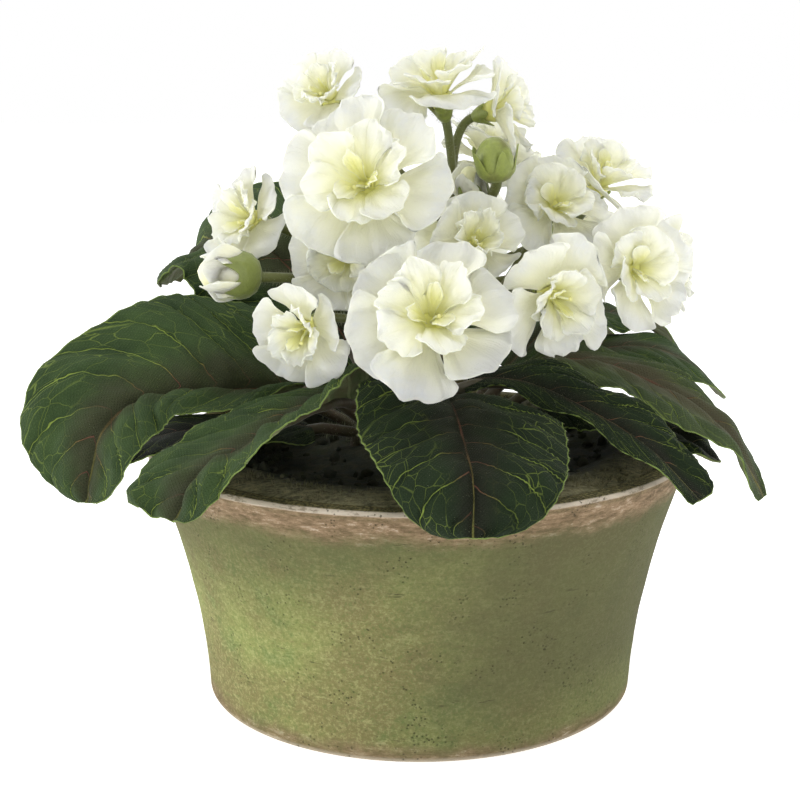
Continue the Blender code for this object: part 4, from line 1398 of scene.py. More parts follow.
BLOOMS = (
    Bloom("bloom_front", (2.5, -63, 113.5), (-0.03, -1, 0.58), 20.8, "front", 18, 6, 3, seed=3),
    Bloom("bloom_upper_left", (-14, -41.5, 143), (-0.25, -1, 0.36), 21.8, "left", 50, 6, 3,
          seed=41),
    Bloom("bloom_top_left", (-24.5, -12, 164), (-0.35, -0.8, 0.5), 12.6, "top", 10, open=-14,
          seed=40),
    Bloom("bloom_top", (4.5, -9, 167), (-0.25, -0.4, 1), 17, "top", 30, seed=9),
    Bloom("bloom_top_right", (23, -2, 160.5), (0.85, -0.25, 0.28), 14, "top", 5, open=-8, seed=41),
    Bloom("bloom_left", (-45.5, -17, 132), (-0.7, -0.7, 0.25), 13.6, "left", 40, seed=40),
    Bloom("bloom_left_middle", (-19, -33, 123.5), (-0.3, -1, 0.05), 14.5, "front", 32, seed=44),
    Bloom("bloom_left_front", (-28, -52, 107.5), (-0.45, -1, -0.2), 13.2, "front", 25, open=-10,
          seed=40),
    Bloom("bloom_middle", (14, -33, 127.5), (0.2, -0.85, 0.45), 13.6, "right", 15, open=-16,
          seed=40),
    Bloom("bloom_right_front", (34, -43, 114.5), (0.4, -0.85, -0.15), 16.2, "right", 60, open=-6,
          seed=42),
    Bloom("bloom_right", (55, -33.5, 121), (0.32, -0.95, 0.2), 15.2, "right", 33, seed=41),
    Bloom("bloom_right_upper", (36, -12, 136), (0.15, -0.9, 0.5), 14.8, "right", 80, seed=41),
    Bloom("bloom_right_top", (50, 2, 142.5), (0.3, -0.5, 0.8), 15.2, "right", 12, open=-8,
          seed=41),
    Bloom("bloom_far_right", (68, -4, 118), (0.95, -0.35, 0.05), 14.0, "back", 44, seed=40),
    Bloom("bloom_upper_back", (20, 18, 148), (0.25, 0.55, 0.85), 14.5, "back", 20, seed=41),
    Bloom("bloom_back_right", (45, 32, 126), (0.75, 0.7, 0.3), 15.5, "back", 65, seed=33),
    Bloom("bloom_back", (12, 46, 123), (0.1, 1, 0.25), 17.0, "back", 10, seed=35),
    Bloom("bloom_back_left", (-15, 42, 119), (-0.4, 0.9, 0.2), 15.0, "back", 35, seed=37),
    Bloom("bloom_back_upper", (-13, 22, 151), (-0.35, 0.55, 0.8), 15.0, "left", 52, seed=39),
)


# --- Buds and stalks


@dataclass(frozen=True)
class Bud(Flower):
    """A closed or half-open bud; a closed one has no petals."""

    length: float
    stalk: str
    petals: int = 0

    @property
    def reach(self) -> float:
        """Radius of the space that it keeps from its neighbours."""
        return 0.5 * (self.radius + 0.5 * self.length) + 1.5

    @property
    def throat(self) -> np.ndarray:
        """The bud's foot, where its stem ends."""
        return np.array(self.face) - self.axis * (0.5 * self.length)

    @property
    def axes(self) -> np.ndarray:
        """The bud's axes, as the columns of a matrix."""
        return turned_axes(self.axis)

    def egg(self, outline: tuple[Pair, ...]) -> np.ndarray:
        """An outline in shares of the bud's radius and length, smoothed and in millimetres."""
        rows = spline(np.array(outline) * (self.radius, self.length), 4)
        rows[1:-1, 0] = np.maximum(rows[1:-1, 0], 0.05)
        return rows

    def add_body(self, skin: Skin) -> None:
        """Add the green of the bud.

        Args:
            skin: Its stalk's skin.
        """
        size = (self.radius, self.length)
        if self.petals:
            cup = (((0.3, -0.03), (0.3, -0.03)), ((0.62, 0.02), (0.66, 0.02)),
                   ((0.88, 0.13), (0.94, 0.16)), ((1.0, 0.26), (1.06, 0.4)),
                   ((0.99, 0.34), (0.98, 0.66)), ((0.94, 0.35), (0.93, 0.66)),
                   ((0.86, 0.24), (0.94, 0.38)), ((0.5, 0.12), (0.5, 0.14)))
            skin.star(cup, (-0.04, 0.1), size, self.axes, self.throat, sepal=0.6)
            return
        skin.turned(self.egg(((0.0, -0.04), (0.45, 0.0), (0.88, 0.2), (0.97, 0.45), (0.84, 0.72),
                              (0.45, 0.94), (0.0, 1.0))), self.axes, self.throat, 40,
                    lobes=0.12, sepal=1.0)
        cup = (((0.3, -0.05), (0.3, -0.05)), ((0.6, -0.01), (0.66, -0.01)),
               ((0.92, 0.12), (0.98, 0.16)), ((1.0, 0.2), (1.12, 0.42)), ((1.0, 0.24), (1.3, 0.76)),
               ((0.95, 0.24), (1.24, 0.77)), ((0.9, 0.16), (1.0, 0.4)), ((0.5, 0.04), (0.5, 0.1)))
        skin.star(cup, (-0.06, 0.06), size, self.axes, self.throat, sepal=1.0)

    def build_petals(self, finishes: list[Material]) -> bpy.types.Object:
        """Build the folded petals that stand out of a half-open bud.

        Args:
            finishes: Materials of the petals and of the pistil.

        Returns:
            The petals.
        """
        draw = random.Random(round(self.length))
        skin = Skin(("along", "across", "edge", "glow"))
        wide, long = self.radius, self.length
        core = self.egg(((0.0, 0.14), (0.6, 0.2), (0.88, 0.36), (0.9, 0.54), (0.7, 0.76),
                         (0.36, 0.92), (0.0, 0.98)))
        skin.turned(core, self.axes, self.throat, 30, lobes=0.1, glow=0.1, along=0.5)
        share, side = np.meshgrid(np.linspace(0.0, 1.0, 18), np.linspace(-1.0, 1.0, 15),
                                  indexing="ij")
        for k in range(self.petals):
            length = 0.72 * long * draw.uniform(0.92, 1.12)
            petal = Petal(azimuth=360.0 * k / self.petals + 20.0, root=(0.62 * wide, 0.24 * long),
                          length=length, wedge=1.25, bulge=0.15, start=62.0,
                          end=draw.uniform(112.0, 128.0), cup=0.42, tilt=0.2, sway=0.0,
                          ruffle=0.04 * wide, phase=draw.uniform(0.0, 6.28), frill=0.03 * wide,
                          frills=3.0, scallop=0.02, round_tip=0.2)
            edge = np.maximum(np.abs(side), share)
            skin.shell(petal.at(share, side) @ self.axes.T + self.throat,
                       0.3 - 0.16 * edge**3, along=share, across=side, edge=edge,
                       glow=0.28 - 0.2 * share)
        return skin.build(self.name + "_folds", finishes, 50.0)


BUDS = (
    Bud("bud_top", (19.2, -22, 147.6), (-0.15, -0.2, 1), 5.0, 11.0, "top"),
    Bud("bud_middle", (13.8, -13.0, 139.5), (-0.2, -0.3, 1), 4.3, 13.0, "top", petals=3),
    Bud("bud_left", (-48.5, -30, 119), (-1, -0.2, 0.12), 6.2, 16.0, "left", petals=4),
)


@dataclass(frozen=True)
class Stalk:
    """A flower stalk with the stems, calyces and green buds that it carries."""

    name: str
    azimuth: float
    crown: Place
    circle: float = 5.6
    radius: float = 1.8
    pedicel_radius: float = 1.15
    bud_stem_radius: float = 1.5
    foot_height: float = 56.3
    collar_height: float = 71.2
    hairs_a_millimetre: float = 9.0
    sepal_hairs: int = 150
    hair_radius: float = 0.045
    sepal_hair_radius: float = 0.04

    def stem(self, skin: Skin, path: np.ndarray, radii: np.ndarray, rosy: np.ndarray,
             draw: random.Random) -> None:
        """Add a stem and the hairs on it.

        Args:
            skin: The stalk's skin.
            path: Points on the middle line.
            radii: Radius at each of them.
            rosy: How pink it is at each of them.
            draw: Draws for the hairs.
        """
        skin.tube(path, radii, 14, rosy=rosy)
        length = float(np.linalg.norm(np.diff(path, axis=0), axis=1).sum())
        count = int(length * self.hairs_a_millimetre)
        spots = np.array([draw.uniform(0.0, len(path) - 1.001) for _ in range(count)])
        low = spots.astype(int)
        share = (spots - low)[:, None]
        roots = path[low] * (1.0 - share) + path[low + 1] * share
        ahead = unit(path[low + 1] - path[low])
        out = around(ahead, draw)
        sizes = np.array([draw.uniform(0.8, 1.7) for _ in range(count)])
        skin.hairs(roots + out * (radii[low] * 0.9)[:, None], unit(out + ahead * 0.25), sizes,
                   self.hair_radius, 1)

    def calyx(self, skin: Skin, bloom: Bloom, draw: random.Random) -> None:
        """Add the star-edged cup of five sepals that a bloom sits in.

        Args:
            skin: The stalk's skin.
            bloom: The bloom.
            draw: Draws for the hairs.
        """
        rows = (((1.3, -4.0), (1.3, -4.0)), ((2.0, -2.8), (2.2, -2.6)), ((2.7, -1.0), (3.2, -0.4)),
                ((3.2, 0.2), (4.9, 2.3)), ((2.9, 0.6), (4.7, 2.6)), ((2.5, 0.4), (3.4, 1.2)),
                ((1.6, -0.6), (1.7, -0.4)))
        size = bloom.core_share
        placed = skin.star(rows, (-4.4, -1.2), (size, size), bloom.axes, bloom.throat, sepal=1.0)
        picks = [(draw.randrange(0, 4), draw.randrange(0, STAR_SIDES))
                 for _ in range(self.sepal_hairs)]
        roots = np.array([placed[pick] for pick in picks])
        out = unit(roots - bloom.throat + bloom.axis * size)
        sizes = np.array([draw.uniform(0.6, 1.4) for _ in picks])
        skin.hairs(roots, unit(out - bloom.axis * 0.3), sizes, self.sepal_hair_radius, 1)

    def build(self, finishes: list[Material]) -> bpy.types.Object:
        """Build the stalk with all that it carries.

        Args:
            finishes: Materials of the green and of the hairs.

        Returns:
            The stalk.
        """
        draw = random.Random(f"hairs on {self.name}")
        skin = Skin(("rosy", "sepal"))
        turn = math.radians(self.azimuth)
        crown = np.array(self.crown, float)
        foot = np.array((math.cos(turn) * self.circle, math.sin(turn) * self.circle,
                         self.foot_height))
        collar = np.array((foot[0], foot[1], self.collar_height))
        heading = unit(crown - collar)
        rise = bezier(collar, collar + UP * 6.0, crown - (crown - collar) * 0.3, crown, 22)
        path = np.vstack([foot, 0.5 * (foot + collar), rise])
        rosy = np.linspace(1.0, 0.25, len(path))
        self.stem(skin, path, np.linspace(self.radius * 1.02, self.radius * 0.86, len(path)), rosy,
                  draw)
        skin.turned(np.array(((0.0, -1.9), (1.5, -1.2), (2.0, 0.0), (1.5, 1.2), (0.0, 1.9))),
                    turned_axes(heading), crown, 16, rosy=0.3)
        start = crown - heading * 1.5
        for bloom in BLOOMS:
            if bloom.stalk == self.name:
                end = bloom.throat - bloom.axis * (3.6 * bloom.core_share)
                path = bezier(start, start + heading * 6.0, end - bloom.axis * 9.0, end, 20)
                self.stem(skin, path, np.linspace(1.0, 1.05, 20) * self.pedicel_radius,
                          np.linspace(0.35, 0.05, 20), draw)
                self.calyx(skin, bloom, draw)
        for bud in BUDS:
            if bud.stalk == self.name:
                end = bud.throat + bud.axis * 0.8
                path = bezier(start, start + heading * 5.0, end - bud.axis * 7.0, end, 18)
                self.stem(skin, path, np.full(18, self.bud_stem_radius * 0.9),
                          np.linspace(0.35, 0.1, 18), draw)
                bud.add_body(skin)
        return skin.build(f"stalk_{self.name}_stems", finishes, 60.0)


STALKS = (
    Stalk("front", 270, (0, -12, 97)),
    Stalk("left", 198, (-11, -5, 112)),
    Stalk("top", 126, (9, -3, 126)),
    Stalk("right", 342, (20, -6, 108)),
    Stalk("back", 54, (8, 14, 108)),
)


# --- Leaves


INNER_RING = 12.6
OUTER_RING = 18.6


@dataclass(frozen=True)
class Leaf:
    """One leaf: where its petiole stands, the points its midrib passes, and its blade.

    width, fold_right and fold_left are seen from above, looking from the crown to the tip; a
    fold is the slope of that half at the midrib and at its edge, upwards where positive. The
    blade is widest at the share peak of its length, skewed the other way on each side, and a
    larger point makes its ends narrower. wave is the height of the margin's waves, twist turns
    the tip about the midrib, quilt is the height of the puffs between the veins and crumple that
    of the larger lumps.
    """

    name: str
    azimuth: float
    ring: float
    spine: tuple[Place, ...]
    width: Pair
    fold_right: Pair
    fold_left: Pair
    peak: float = 0.5
    point: float = 1.0
    wave: float = 1.2
    waves: float = 2.2
    phase: float = 0.0
    twist: float = 0.0
    skew: float = 0.0
    tone: Tone = Tone.FRESH
    petiole_width: float = 1.7
    foot_height: float = 56.3
    rise_height: float = 72.2
    veins: float = 8.5
    quilt: float = 1.4
    crumple: float = 2.2
    rows: int = 78
    columns: int = 47
    half: float = 0.42
    margin_thinning: float = 0.27
    tooth: float = 0.22
    face_hairs: int = 1300
    face_hair_radius: float = 0.022
    petiole_hairs: int = 350
    petiole_hair_radius: float = 0.045
    hairs_above: float = 69.0

    def midrib(self) -> tuple[np.ndarray, np.ndarray]:
        """Points from the foot of the petiole to the tip, and their distances from the foot."""
        turn = math.radians(self.azimuth)
        flat = (math.cos(turn) * self.ring, math.sin(turn) * self.ring)
        foot, rise = np.array((*flat, self.foot_height)), np.array((*flat, self.rise_height))
        path = spline(np.vstack([foot, foot + (rise - foot) * 0.9, rise, *self.spine]))
        steps = np.linalg.norm(np.diff(path, axis=0), axis=1)
        return path, np.concatenate([[0.0], np.cumsum(steps)])

    def frames(self, distance: np.ndarray) -> tuple[np.ndarray, np.ndarray, np.ndarray]:
        """Points on the midrib with the unit vectors to its side and up.

        Args:
            distance: Distances along the midrib.

        Returns:
            The points, the vectors to the side and the vectors up.
        """
        path, lengths = self.midrib()

        def along(where: np.ndarray) -> np.ndarray:
            """Points at distances along the path."""
            return np.stack([np.interp(where, lengths, column) for column in path.T], -1)

        ahead = unit(along(distance + 2.0) - along(distance - 2.0))
        heading = np.array(self.spine[-2], float) - np.array(self.spine[0], float)
        flat = unit(np.array((heading[1], -heading[0], 0.0)))
        side = square_to(flat, ahead)
        start = lengths[BLADE_START]
        share = np.clip((distance - start) / (lengths[-1] - start), 0.0, 1.0)
        turn = np.radians(self.twist * share**2)[:, None]
        side = side * np.cos(turn) + np.cross(side, ahead) * np.sin(turn)
        return along(distance), side, np.cross(side, ahead)

    def half_width(self, share: np.ndarray, side: np.ndarray) -> np.ndarray:
        """Half width of the blade on one side at shares of its length."""
        peak = np.where(side > 0.0, self.peak - self.skew, self.peak + self.skew)
        rise, fall = peak * self.point, (1.0 - peak) * self.point
        top = peak**rise * (1.0 - peak)**fall
        shape = share**rise * (1.0 - share)**fall / top
        wide = np.where(side > 0.0, self.width[0], self.width[1])
        return np.hypot(wide * shape, self.petiole_width * (1.0 - 0.6 * share))

    def vein_number(self, share: np.ndarray, side: np.ndarray) -> np.ndarray:
        """A value that is whole on each side vein."""
        out = np.abs(side)
        lean = 0.34 * out * (0.62 + 0.38 * out) * (1.0 - 0.45 * share)
        return self.veins * (share - lean) + np.where(side > 0.0, 0.4, 0.0) * smooth(out, 0.0, 0.05)

    def grid(self) -> tuple[np.ndarray, np.ndarray, np.ndarray]:
        """Lay out the blade's points, closer at its base and tip.

        Returns:
            Shares of the length a row, and shares and places across a point.
        """
        along = 1.0 - np.cos(np.linspace(0.16, 1.0, self.rows) * 0.5 * math.pi)
        along = 0.02 + 0.975 * (0.5 * along / along[-1] + 0.5 * np.linspace(0.0, 1.0, self.rows))
        across = np.linspace(-1.0, 1.0, self.columns)
        across = np.sign(across) * np.abs(across)**1.15
        return along, *np.meshgrid(along, across, indexing="ij")

    def relief(self, side: np.ndarray, wide: np.ndarray, number: np.ndarray
               ) -> tuple[np.ndarray, np.ndarray]:
        """Puffs between the veins, the groove of the midrib and the crumple.

        Args:
            side: Places across, -1 to 1.
            wide: Half width of the blade there.
            number: Vein numbers.

        Returns:
            Heights of the relief, and how far each point is up a puff.
        """
        gap = np.abs((number + 0.5) % 1.0 - 0.5)
        puff = np.sin(math.pi * np.clip(gap, 0.0, 0.5))**0.8
        puff *= smooth(np.abs(side) * wide, 0.3, 5.0) * (1.0 - 0.55 * np.abs(side)**4)
        puff *= smooth(wide, 3.0, 12.0)
        fine = np.abs((2.0 * number + 0.5) % 1.0 - 0.5)
        fine = np.sin(math.pi * fine) * smooth(np.abs(side), 0.45, 0.8) * smooth(wide, 5.0, 14.0)
        groove = np.exp(-(side * wide / 1.1)**2)
        height = self.quilt * (puff + 0.3 * fine - 0.9 * groove * smooth(wide, 2.0, 8.0))
        places = np.stack([number * 0.55 + 7.0 * self.phase, side * 1.1, wide * 0.02], -1)
        fold = fractal(places.reshape(-1, 3), 1.0, 3).reshape(side.shape)
        broad = smooth(wide, 3.0, 14.0) * (1.0 - 0.5 * np.abs(side)**6)
        return height * (0.8 + 0.8 * fold) + self.crumple * broad * fold, puff

    def build(self, finishes: list[Material]) -> bpy.types.Object:
        """Build the leaf: blade, petiole with the midrib below, and hairs.

        Args:
            finishes: Materials of the upper face, the underside, the petiole and the hairs.

        Returns:
            The leaf.
        """
        lengths = self.midrib()[1]
        start, total = lengths[BLADE_START], lengths[-1]
        along, share, side = self.grid()
        here, aside, up = self.frames(start + along * (total - start))
        wide = self.half_width(share, side)
        ease = 1.0 - 0.8 * share**1.3
        slopes = [np.where(side > 0.0, right, left) * ease
                  for right, left in zip(self.fold_right, self.fold_left)]
        out, lift = arc(*slopes, np.abs(side))
        turn = 2.0 * math.pi * (self.waves * share + self.phase + np.where(side > 0.0, 0.3, 0.0))
        lift = lift * wide + self.wave * side**2 * np.sin(turn)
        number = self.vein_number(share, side)
        tooth = self.tooth * np.sin(2.0 * math.pi * 2.0 * number) * np.abs(side)**12
        middle = (here[:, None] + aside[:, None] * (np.copysign(out * wide, side)
                                                    + np.sign(side) * tooth)[..., None]
                  + up[:, None] * lift[..., None])
        middle = clear_of_blooms(middle.reshape(-1, 3)).reshape(middle.shape)
        relief, puff = self.relief(side, wide, number)
        middle += surface_normals(middle) * relief[..., None]
        edge = np.maximum(np.abs(side), smooth(share, 0.9, 0.998))
        half = self.half - self.margin_thinning * edge**6
        run, span = along[:, None] * (total - start), side * wide
        skin = Skin(("along", "across", "vein", "rib", "puff", "edge", "rosy", "sepal", "warp",
                     "weft"))
        normals = skin.shell(middle, half, (0, 1), along=share, across=side, vein=number,
                             rib=np.abs(side) * wide, puff=puff, edge=edge, warp=run + span,
                             weft=run - span)
        self.add_petiole(skin, middle[:, self.columns // 2], normals[:, self.columns // 2])
        self.add_hairs(skin, middle, normals, half)
        return skin.build(self.name + "_blade", finishes, 60.0)

    def add_petiole(self, skin: Skin, rib: np.ndarray, normals: np.ndarray) -> None:
        """Add the petiole, which runs on under the blade as its midrib.

        Args:
            skin: The leaf's skin.
            rib: The blade's middle line.
            normals: Its upward normals.
        """
        path, lengths = self.midrib()
        below = path[lengths < lengths[BLADE_START] * 0.97]
        taper = np.linspace(1.0, 0.0, len(rib))[2:-2, None]
        keel = rib[2:-2] - normals[2:-2] * (0.35 + 0.75 * taper)
        whole = np.vstack([below, keel])
        radii = np.concatenate([np.full(len(below), self.petiole_width),
                                0.32 + (self.petiole_width - 0.32) * taper[:, 0]**1.5])
        skin.tube(whole, radii, 14, 2, 0.92, rosy=np.linspace(1.0, 0.4, len(whole)))

    def add_hairs(self, skin: Skin, middle: np.ndarray, normals: np.ndarray, half: np.ndarray
                  ) -> None:
        """Add fine hairs to the upper face, the margin and the petiole.

        Args:
            skin: The leaf's skin.
            middle: The blade's middle surface.
            normals: Its upward normals.
            half: Its half thickness.
        """
        draw = random.Random(self.name)
        rows, columns = middle.shape[:2]
        roots, leans, sizes = [], [], []
        for k in range(self.face_hairs):
            at_margin = k % 4 == 0
            row = draw.randrange(2, rows)
            column = draw.choice((0, columns - 1)) if at_margin else draw.randrange(columns)
            normal = normals[row, column]
            outward = middle[row, column] - middle[row, min(max(column, 1), columns - 2)]
            lean = normal * (0.5 if at_margin else 1.0) + 2.5 * outward
            lean = lean + [draw.gauss(0.0, 0.3) for _ in range(3)]
            spot = middle[row, column]
            if row + 1 < rows:
                spot = spot + (middle[row + 1, column] - spot) * draw.random()
            roots.append(spot + normal * half[row, column] * 0.8)
            leans.append(lean)
            sizes.append(draw.uniform(0.25, 0.6))
        skin.hairs(np.array(roots), unit(np.array(leans)), np.array(sizes),
                   self.face_hair_radius, 3)
        path, lengths = self.midrib()
        stem = path[(lengths < lengths[BLADE_START]) & (path[:, 2] > self.hairs_above)]
        if len(stem) > 2:
            picks = [draw.randrange(len(stem) - 1) for _ in range(self.petiole_hairs)]
            spots = np.array([stem[k] + (stem[k + 1] - stem[k]) * draw.random() for k in picks])
            ahead = np.array([unit(stem[k + 1] - stem[k]) for k in picks])
            out = around(ahead, draw)
            sizes = np.array([draw.uniform(0.9, 1.9) for _ in picks])
            skin.hairs(spots + out * 1.45, out, sizes, self.petiole_hair_radius, 3)


def clear_of_blooms(points: np.ndarray) -> np.ndarray:
    """Press a leaf's points out of the space that the blooms fill.

    Args:
        points: Points, one a row.

    Returns:
        The points, moved where needed.
    """
    softness, middle, flatness, room = 0.22, 0.35, 0.55, 1.06
    for bloom in BLOOMS:
        axes, throat = bloom.axes, bloom.throat
        local = (points - throat) @ axes
        local[:, 2] -= middle * bloom.radius
        size = np.linalg.norm(local / (1.0, 1.0, flatness), axis=1) / (room * bloom.radius)
        wanted = 1.0 + softness * np.exp((np.minimum(size, 2.0) - 1.0) / softness - 1.0)
        local *= (wanted / np.maximum(size, 0.05))[:, None]
        local[:, 2] += middle * bloom.radius
        near = size - 1.0 < softness
        points = np.where(near[:, None], local @ axes.T + throat, points)
    return points


LEAVES = (
    Leaf("leaf_left_large", 200, INNER_RING,
         ((-30, -12, 86), (-54, -20, 87), (-72, -28, 86), (-81, -37, 80), (-84, -44, 62.5)),
         (32, 18), (56, 36), (12, -16), peak=0.48, point=0.86, wave=1.6, phase=0.1, twist=30,
         skew=0.12),
    Leaf("leaf_left_back", 152, INNER_RING,
         ((-19, 12, 92), (-36, 20, 114), (-51, 26, 123), (-64, 30, 121), (-72, 31, 110)),
         (26, 28), (66, 54), (-50, -74), peak=0.58, point=0.5, wave=1.2, phase=0.4, skew=0.1),
    Leaf("leaf_left_front", 232, INNER_RING,
         ((-14, -22, 84), (-26, -40, 88.5), (-38.5, -56.5, 84), (-49.5, -70.5, 78.5),
          (-56, -80, 68.5)),
         (21, 19), (-16, -8), (46, 26), peak=0.54, point=0.64, wave=1.0, phase=0.7, skew=-0.14),
    Leaf("leaf_front", 270, OUTER_RING,
         ((5, -29, 85), (8, -46, 89), (10, -63, 86), (12, -79, 79), (12, -87, 66.5)),
         (25, 25), (26, -8), (0, -18), peak=0.5, point=0.78, wave=1.3, phase=0.2,
         tone=Tone.DEEP),
    Leaf("leaf_right_front", 308, INNER_RING,
         ((11, -19, 88), (25, -31, 92), (40, -43, 88), (55, -55, 80.5), (66.5, -65, 69)),
         (5.5, 10), (-26, -50), (28, 42), peak=0.64, point=0.74, wave=1.2, waves=3.0, phase=0.3,
         tone=Tone.DEEP),
    Leaf("leaf_right_bronze", 340, INNER_RING,
         ((24, -9, 88), (40, -14, 95), (60, -21, 91), (79, -28, 79), (90, -30, 60)),
         (16, 10), (-12, -30), (22, 2), peak=0.45, point=1.35, wave=1.4, waves=2.6, phase=0.8,
         tone=Tone.BRONZE),
    Leaf("leaf_right_low", 346, OUTER_RING,
         ((28, -6, 77), (42, -10, 79.5), (56, -15, 78), (69, -19, 75), (80, -23, 68)),
         (14, 13), (-4, -18), (4, -10), peak=0.5, point=0.95, wave=1.1, phase=0.75,
         tone=Tone.DEEP),
    Leaf("leaf_right", 6, OUTER_RING,
         ((30, 4, 81.4), (48, 7, 92.4), (64, 8, 94.2), (78, 9, 88.4), (87, 10, 78.6)),
         (13, 11), (-34, -50), (26, 6), peak=0.5, point=1.1, wave=1.2, waves=2.6, phase=0.5,
         quilt=0.7, crumple=0.6),
    Leaf("leaf_right_back", 28, INNER_RING,
         ((23, 9, 86), (41, 18, 101), (56, 26, 101.4), (70, 30, 96.4), (79, 33, 86)),
         (12, 13), (-14, -34), (14, -6), peak=0.54, point=1.0, wave=1.8, waves=2.8, phase=0.9,
         quilt=0.8, crumple=0.6),
    Leaf("leaf_left_low", 198, OUTER_RING,
         ((-28, -10, 74.6), (-42, -15, 77.4), (-57, -20, 77), (-71, -25, 75), (-82, -29, 71)),
         (15, 18), (6, -12), (-4, -24), peak=0.52, point=0.95, wave=1.0, phase=0.6,
         tone=Tone.DEEP, quilt=0.5, crumple=0.4),
    Leaf("leaf_left_middle", 172, OUTER_RING,
         ((-29, 4, 77.4), (-45, 7, 83), (-62, 9, 81.8), (-78, 11, 76.4), (-89, 13, 66)),
         (18, 18), (10, -20), (6, -16), peak=0.52, point=0.95, wave=1.2, phase=0.15,
         tone=Tone.DEEP, quilt=0.5, crumple=0.4),
    Leaf("leaf_back_left", 130, OUTER_RING,
         ((-20, 23, 77), (-32, 37, 83), (-43, 50, 82), (-54, 63, 76), (-62, 73, 64)),
         (22, 22), (16, -14), (16, -18), peak=0.52, point=0.9, wave=1.3, phase=0.35,
         crumple=1.4),
    Leaf("leaf_back", 100, INNER_RING,
         ((-4, 24, 84), (-6, 41, 91), (-7, 58, 88), (-8, 75, 81), (-9, 88, 67)),
         (22, 24), (-2, -30), (8, -20), peak=0.56, point=0.66, wave=1.4, phase=0.55),
    Leaf("leaf_back_right", 50, INNER_RING,
         ((15, 21, 88), (27, 37, 99), (42, 49, 97), (55, 61, 87), (63, 69, 71)),
         (17, 20), (10, -18), (30, 6), peak=0.5, point=0.92, wave=1.4, phase=0.05, quilt=0.9,
         crumple=0.6),
)


# --- The plant and the studio


@dataclass(frozen=True)
class Plant:
    """All that grows in the pot."""

    tones: tuple[LeafFinish, ...] = (
        LeafFinish(Tone.FRESH, dark=(0.020, 0.040, 0.013), light=(0.056, 0.094, 0.030),
                   flush=(0.044, 0.040, 0.022), flush_width=0.32),
        # About a third as bright as the fresh tone: painted shade.
        LeafFinish(Tone.DEEP, dark=(0.006, 0.013, 0.005), light=(0.017, 0.031, 0.011),
                   flush=(0.013, 0.012, 0.008), flush_width=0.3),
        LeafFinish(Tone.BRONZE, dark=(0.036, 0.056, 0.024), light=(0.080, 0.104, 0.044),
                   flush=(0.082, 0.064, 0.042), flush_width=0.5),
    )
    # A darker copy of the stalk finish: painted shade for the petioles under the leaves.
    petiole: StalkFinish = StalkFinish("petiole_painted_shade", green=(0.05, 0.065, 0.022),
                                       rosy=(0.075, 0.045, 0.03))

    def dress(self) -> None:
        """Build every leaf, stalk, bloom and bud, and tie them to the part."""
        hair, stem = HairFinish().material(), StalkFinish().material()
        petiole, underside = self.petiole.material(), LeafBackFinish().material()
        faces = {finish.tone: finish.material() for finish in self.tones}
        for leaf in LEAVES:
            slot = Slot.BRONZE if leaf.tone is Tone.BRONZE else Slot.LEAF
            settle(leaf.build([faces[leaf.tone], underside, petiole, hair]), slot, leaf.name)
        for stalk in STALKS:
            settle(stalk.build([stem, hair]), Slot.STALK, "stalk_" + stalk.name)
        petals = [PetalFinish().material(), PistilFinish().material()]
        for bloom in BLOOMS:
            settle(bloom.build(petals), Slot.PETAL, bloom.name)
        for bud in BUDS:
            if bud.petals:
                settle(bud.build_petals(petals), Slot.PETAL, bud.name + "_petals")


@dataclass(frozen=True)
class Lamp:
    """A soft square light that looks at the plant."""

    name: str
    place: Place
    size: float
    power: float
    colour: Colour = (1.0, 0.99, 0.97)

    def build(self, target: Place) -> None:
        """Hang the lamp.

        Args:
            target: The point that it looks at, in metres.
        """
        light = bpy.data.lights.new(self.name, "AREA")
        light.size = self.size
        light.energy = self.power
        light.color = self.colour
        lamp = bpy.data.objects.new(self.name, light)
        lamp.location = self.place
        ahead = Vector(target) - Vector(self.place)
        lamp.rotation_euler = ahead.to_track_quat("-Z", "Y").to_euler()
        bpy.context.scene.collection.objects.link(lamp)


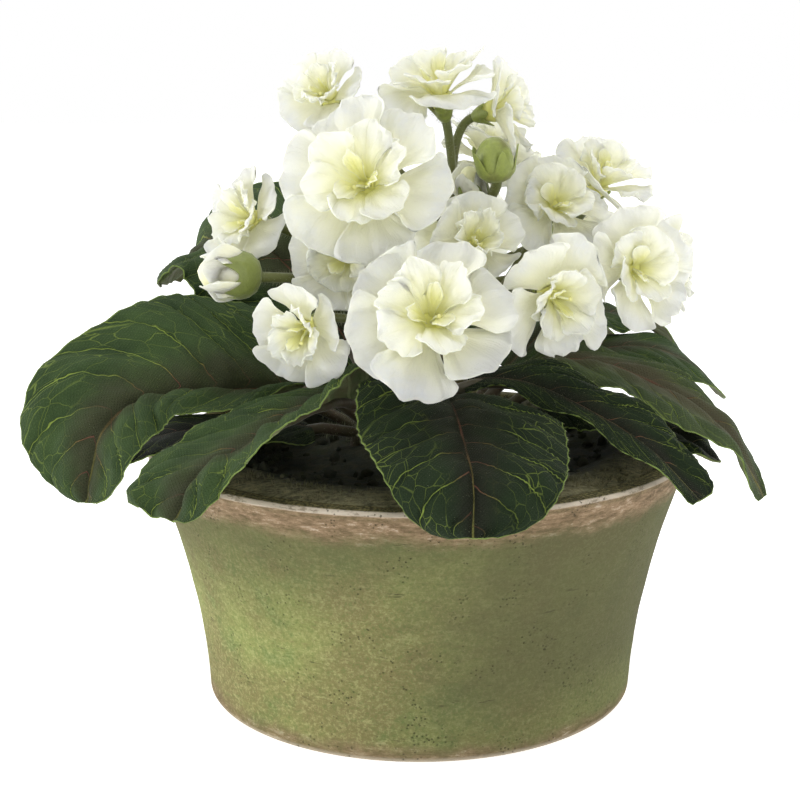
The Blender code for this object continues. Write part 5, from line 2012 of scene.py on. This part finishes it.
@dataclass(frozen=True)
class Studio:
    """Pale floor, soft light and the camera; places are in metres."""

    floor_size: float = 30.0
    bright: Colour = (1.0, 1.0, 1.0)
    dim: Colour = (0.07, 0.07, 0.072)
    horizon: float = 0.06
    bright_side: Place = (-0.72, 0.65, 0.25)
    bright_range: Pair = (0.28, 0.62)
    lamp_target: Place = (0.0, 0.0, 0.08)
    lamps: tuple[Lamp, ...] = (
        Lamp("key", (-0.9, -0.5, 0.9), 0.8, 0.8),
        Lamp("side", (-1.3, 0.0, 0.12), 0.4, 6.5),
        Lamp("rim", (1.2, 0.6, 0.25), 0.5, 4.0),
        Lamp("top", (0.1, 0.0, 1.3), 1.0, 5.6),
        Lamp("fill", (0.4, -1.1, 0.55), 0.8, 5.0),
    )
    camera_place: Place = (0.0, -0.390, 0.160)
    camera_pitch: float = -11.55
    lens: float = 64.17
    shift: float = -19.4 / 800.0

    def build_floor(self) -> None:
        """Lay the floor, which isn't part of the object."""
        half = 0.5 * self.floor_size
        mesh = bpy.data.meshes.new("floor")
        mesh.from_pydata([(-half, -half, 0), (half, -half, 0), (half, half, 0), (-half, half, 0)],
                         [], [(0, 1, 2, 3)])
        mesh.materials.append(FloorFinish().material())
        floor = bpy.data.objects.new("floor", mesh)
        bpy.context.scene.collection.objects.link(floor)

    def build_sky(self) -> None:
        """Make the light all round: bright below and on one side, dim on the other."""
        world = bpy.data.worlds.new("studio")
        world.use_nodes = True
        sky = Nodes(world.node_tree)
        way = sky.node("TexCoord", {}, "Generated")
        facing = sky.node("VectorMath", {0: way, 1: self.bright_side}, "Value",
                          operation="DOT_PRODUCT")
        ramp = sky.tree.nodes.new("ShaderNodeValToRGB")
        ramp.color_ramp.interpolation = "EASE"
        for stop, place, colour in zip(ramp.color_ramp.elements, self.bright_range,
                                       (self.dim, self.bright)):
            stop.position, stop.color = place, (*colour, 1.0)
        sky.feed(ramp.inputs["Fac"], sky.node("Math", {0: facing, 1: 0.5, 2: 0.5},
                                              operation="MULTIPLY_ADD"))
        above = sky.node("MapRange", {"Value": sky.node("SeparateXYZ", {0: way}, "Z"),
                                      "From Min": self.horizon, "From Max": 2.0 * self.horizon})
        colour = above.mix(self.bright, Signal(sky, ramp.outputs["Color"]))
        sky.feed(sky.tree.nodes["Background"].inputs["Color"], colour)
        bpy.context.scene.world = world

    def build(self) -> None:
        """Build the floor, the light and the camera."""
        bpy.context.scene.view_settings.view_transform = "Standard"
        self.build_floor()
        self.build_sky()
        for lamp in self.lamps:
            lamp.build(self.lamp_target)
        camera = bpy.data.objects.new("camera", bpy.data.cameras.new("camera"))
        camera.data.sensor_width = 36.0
        camera.data.lens = self.lens
        camera.data.shift_x = self.shift
        camera.location = self.camera_place
        camera.rotation_euler = (math.radians(90.0 + self.camera_pitch), 0.0, 0.0)
        bpy.context.scene.collection.objects.link(camera)
        bpy.context.scene.camera = camera


def main() -> None:
    """Dress the part and set up the studio."""
    logging.basicConfig(level=logging.INFO, format="%(name)s %(message)s")
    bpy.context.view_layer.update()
    Studio().build()
    Pot().dress()
    Plant().dress()
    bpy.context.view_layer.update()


if __name__ == "__main__":
    main()
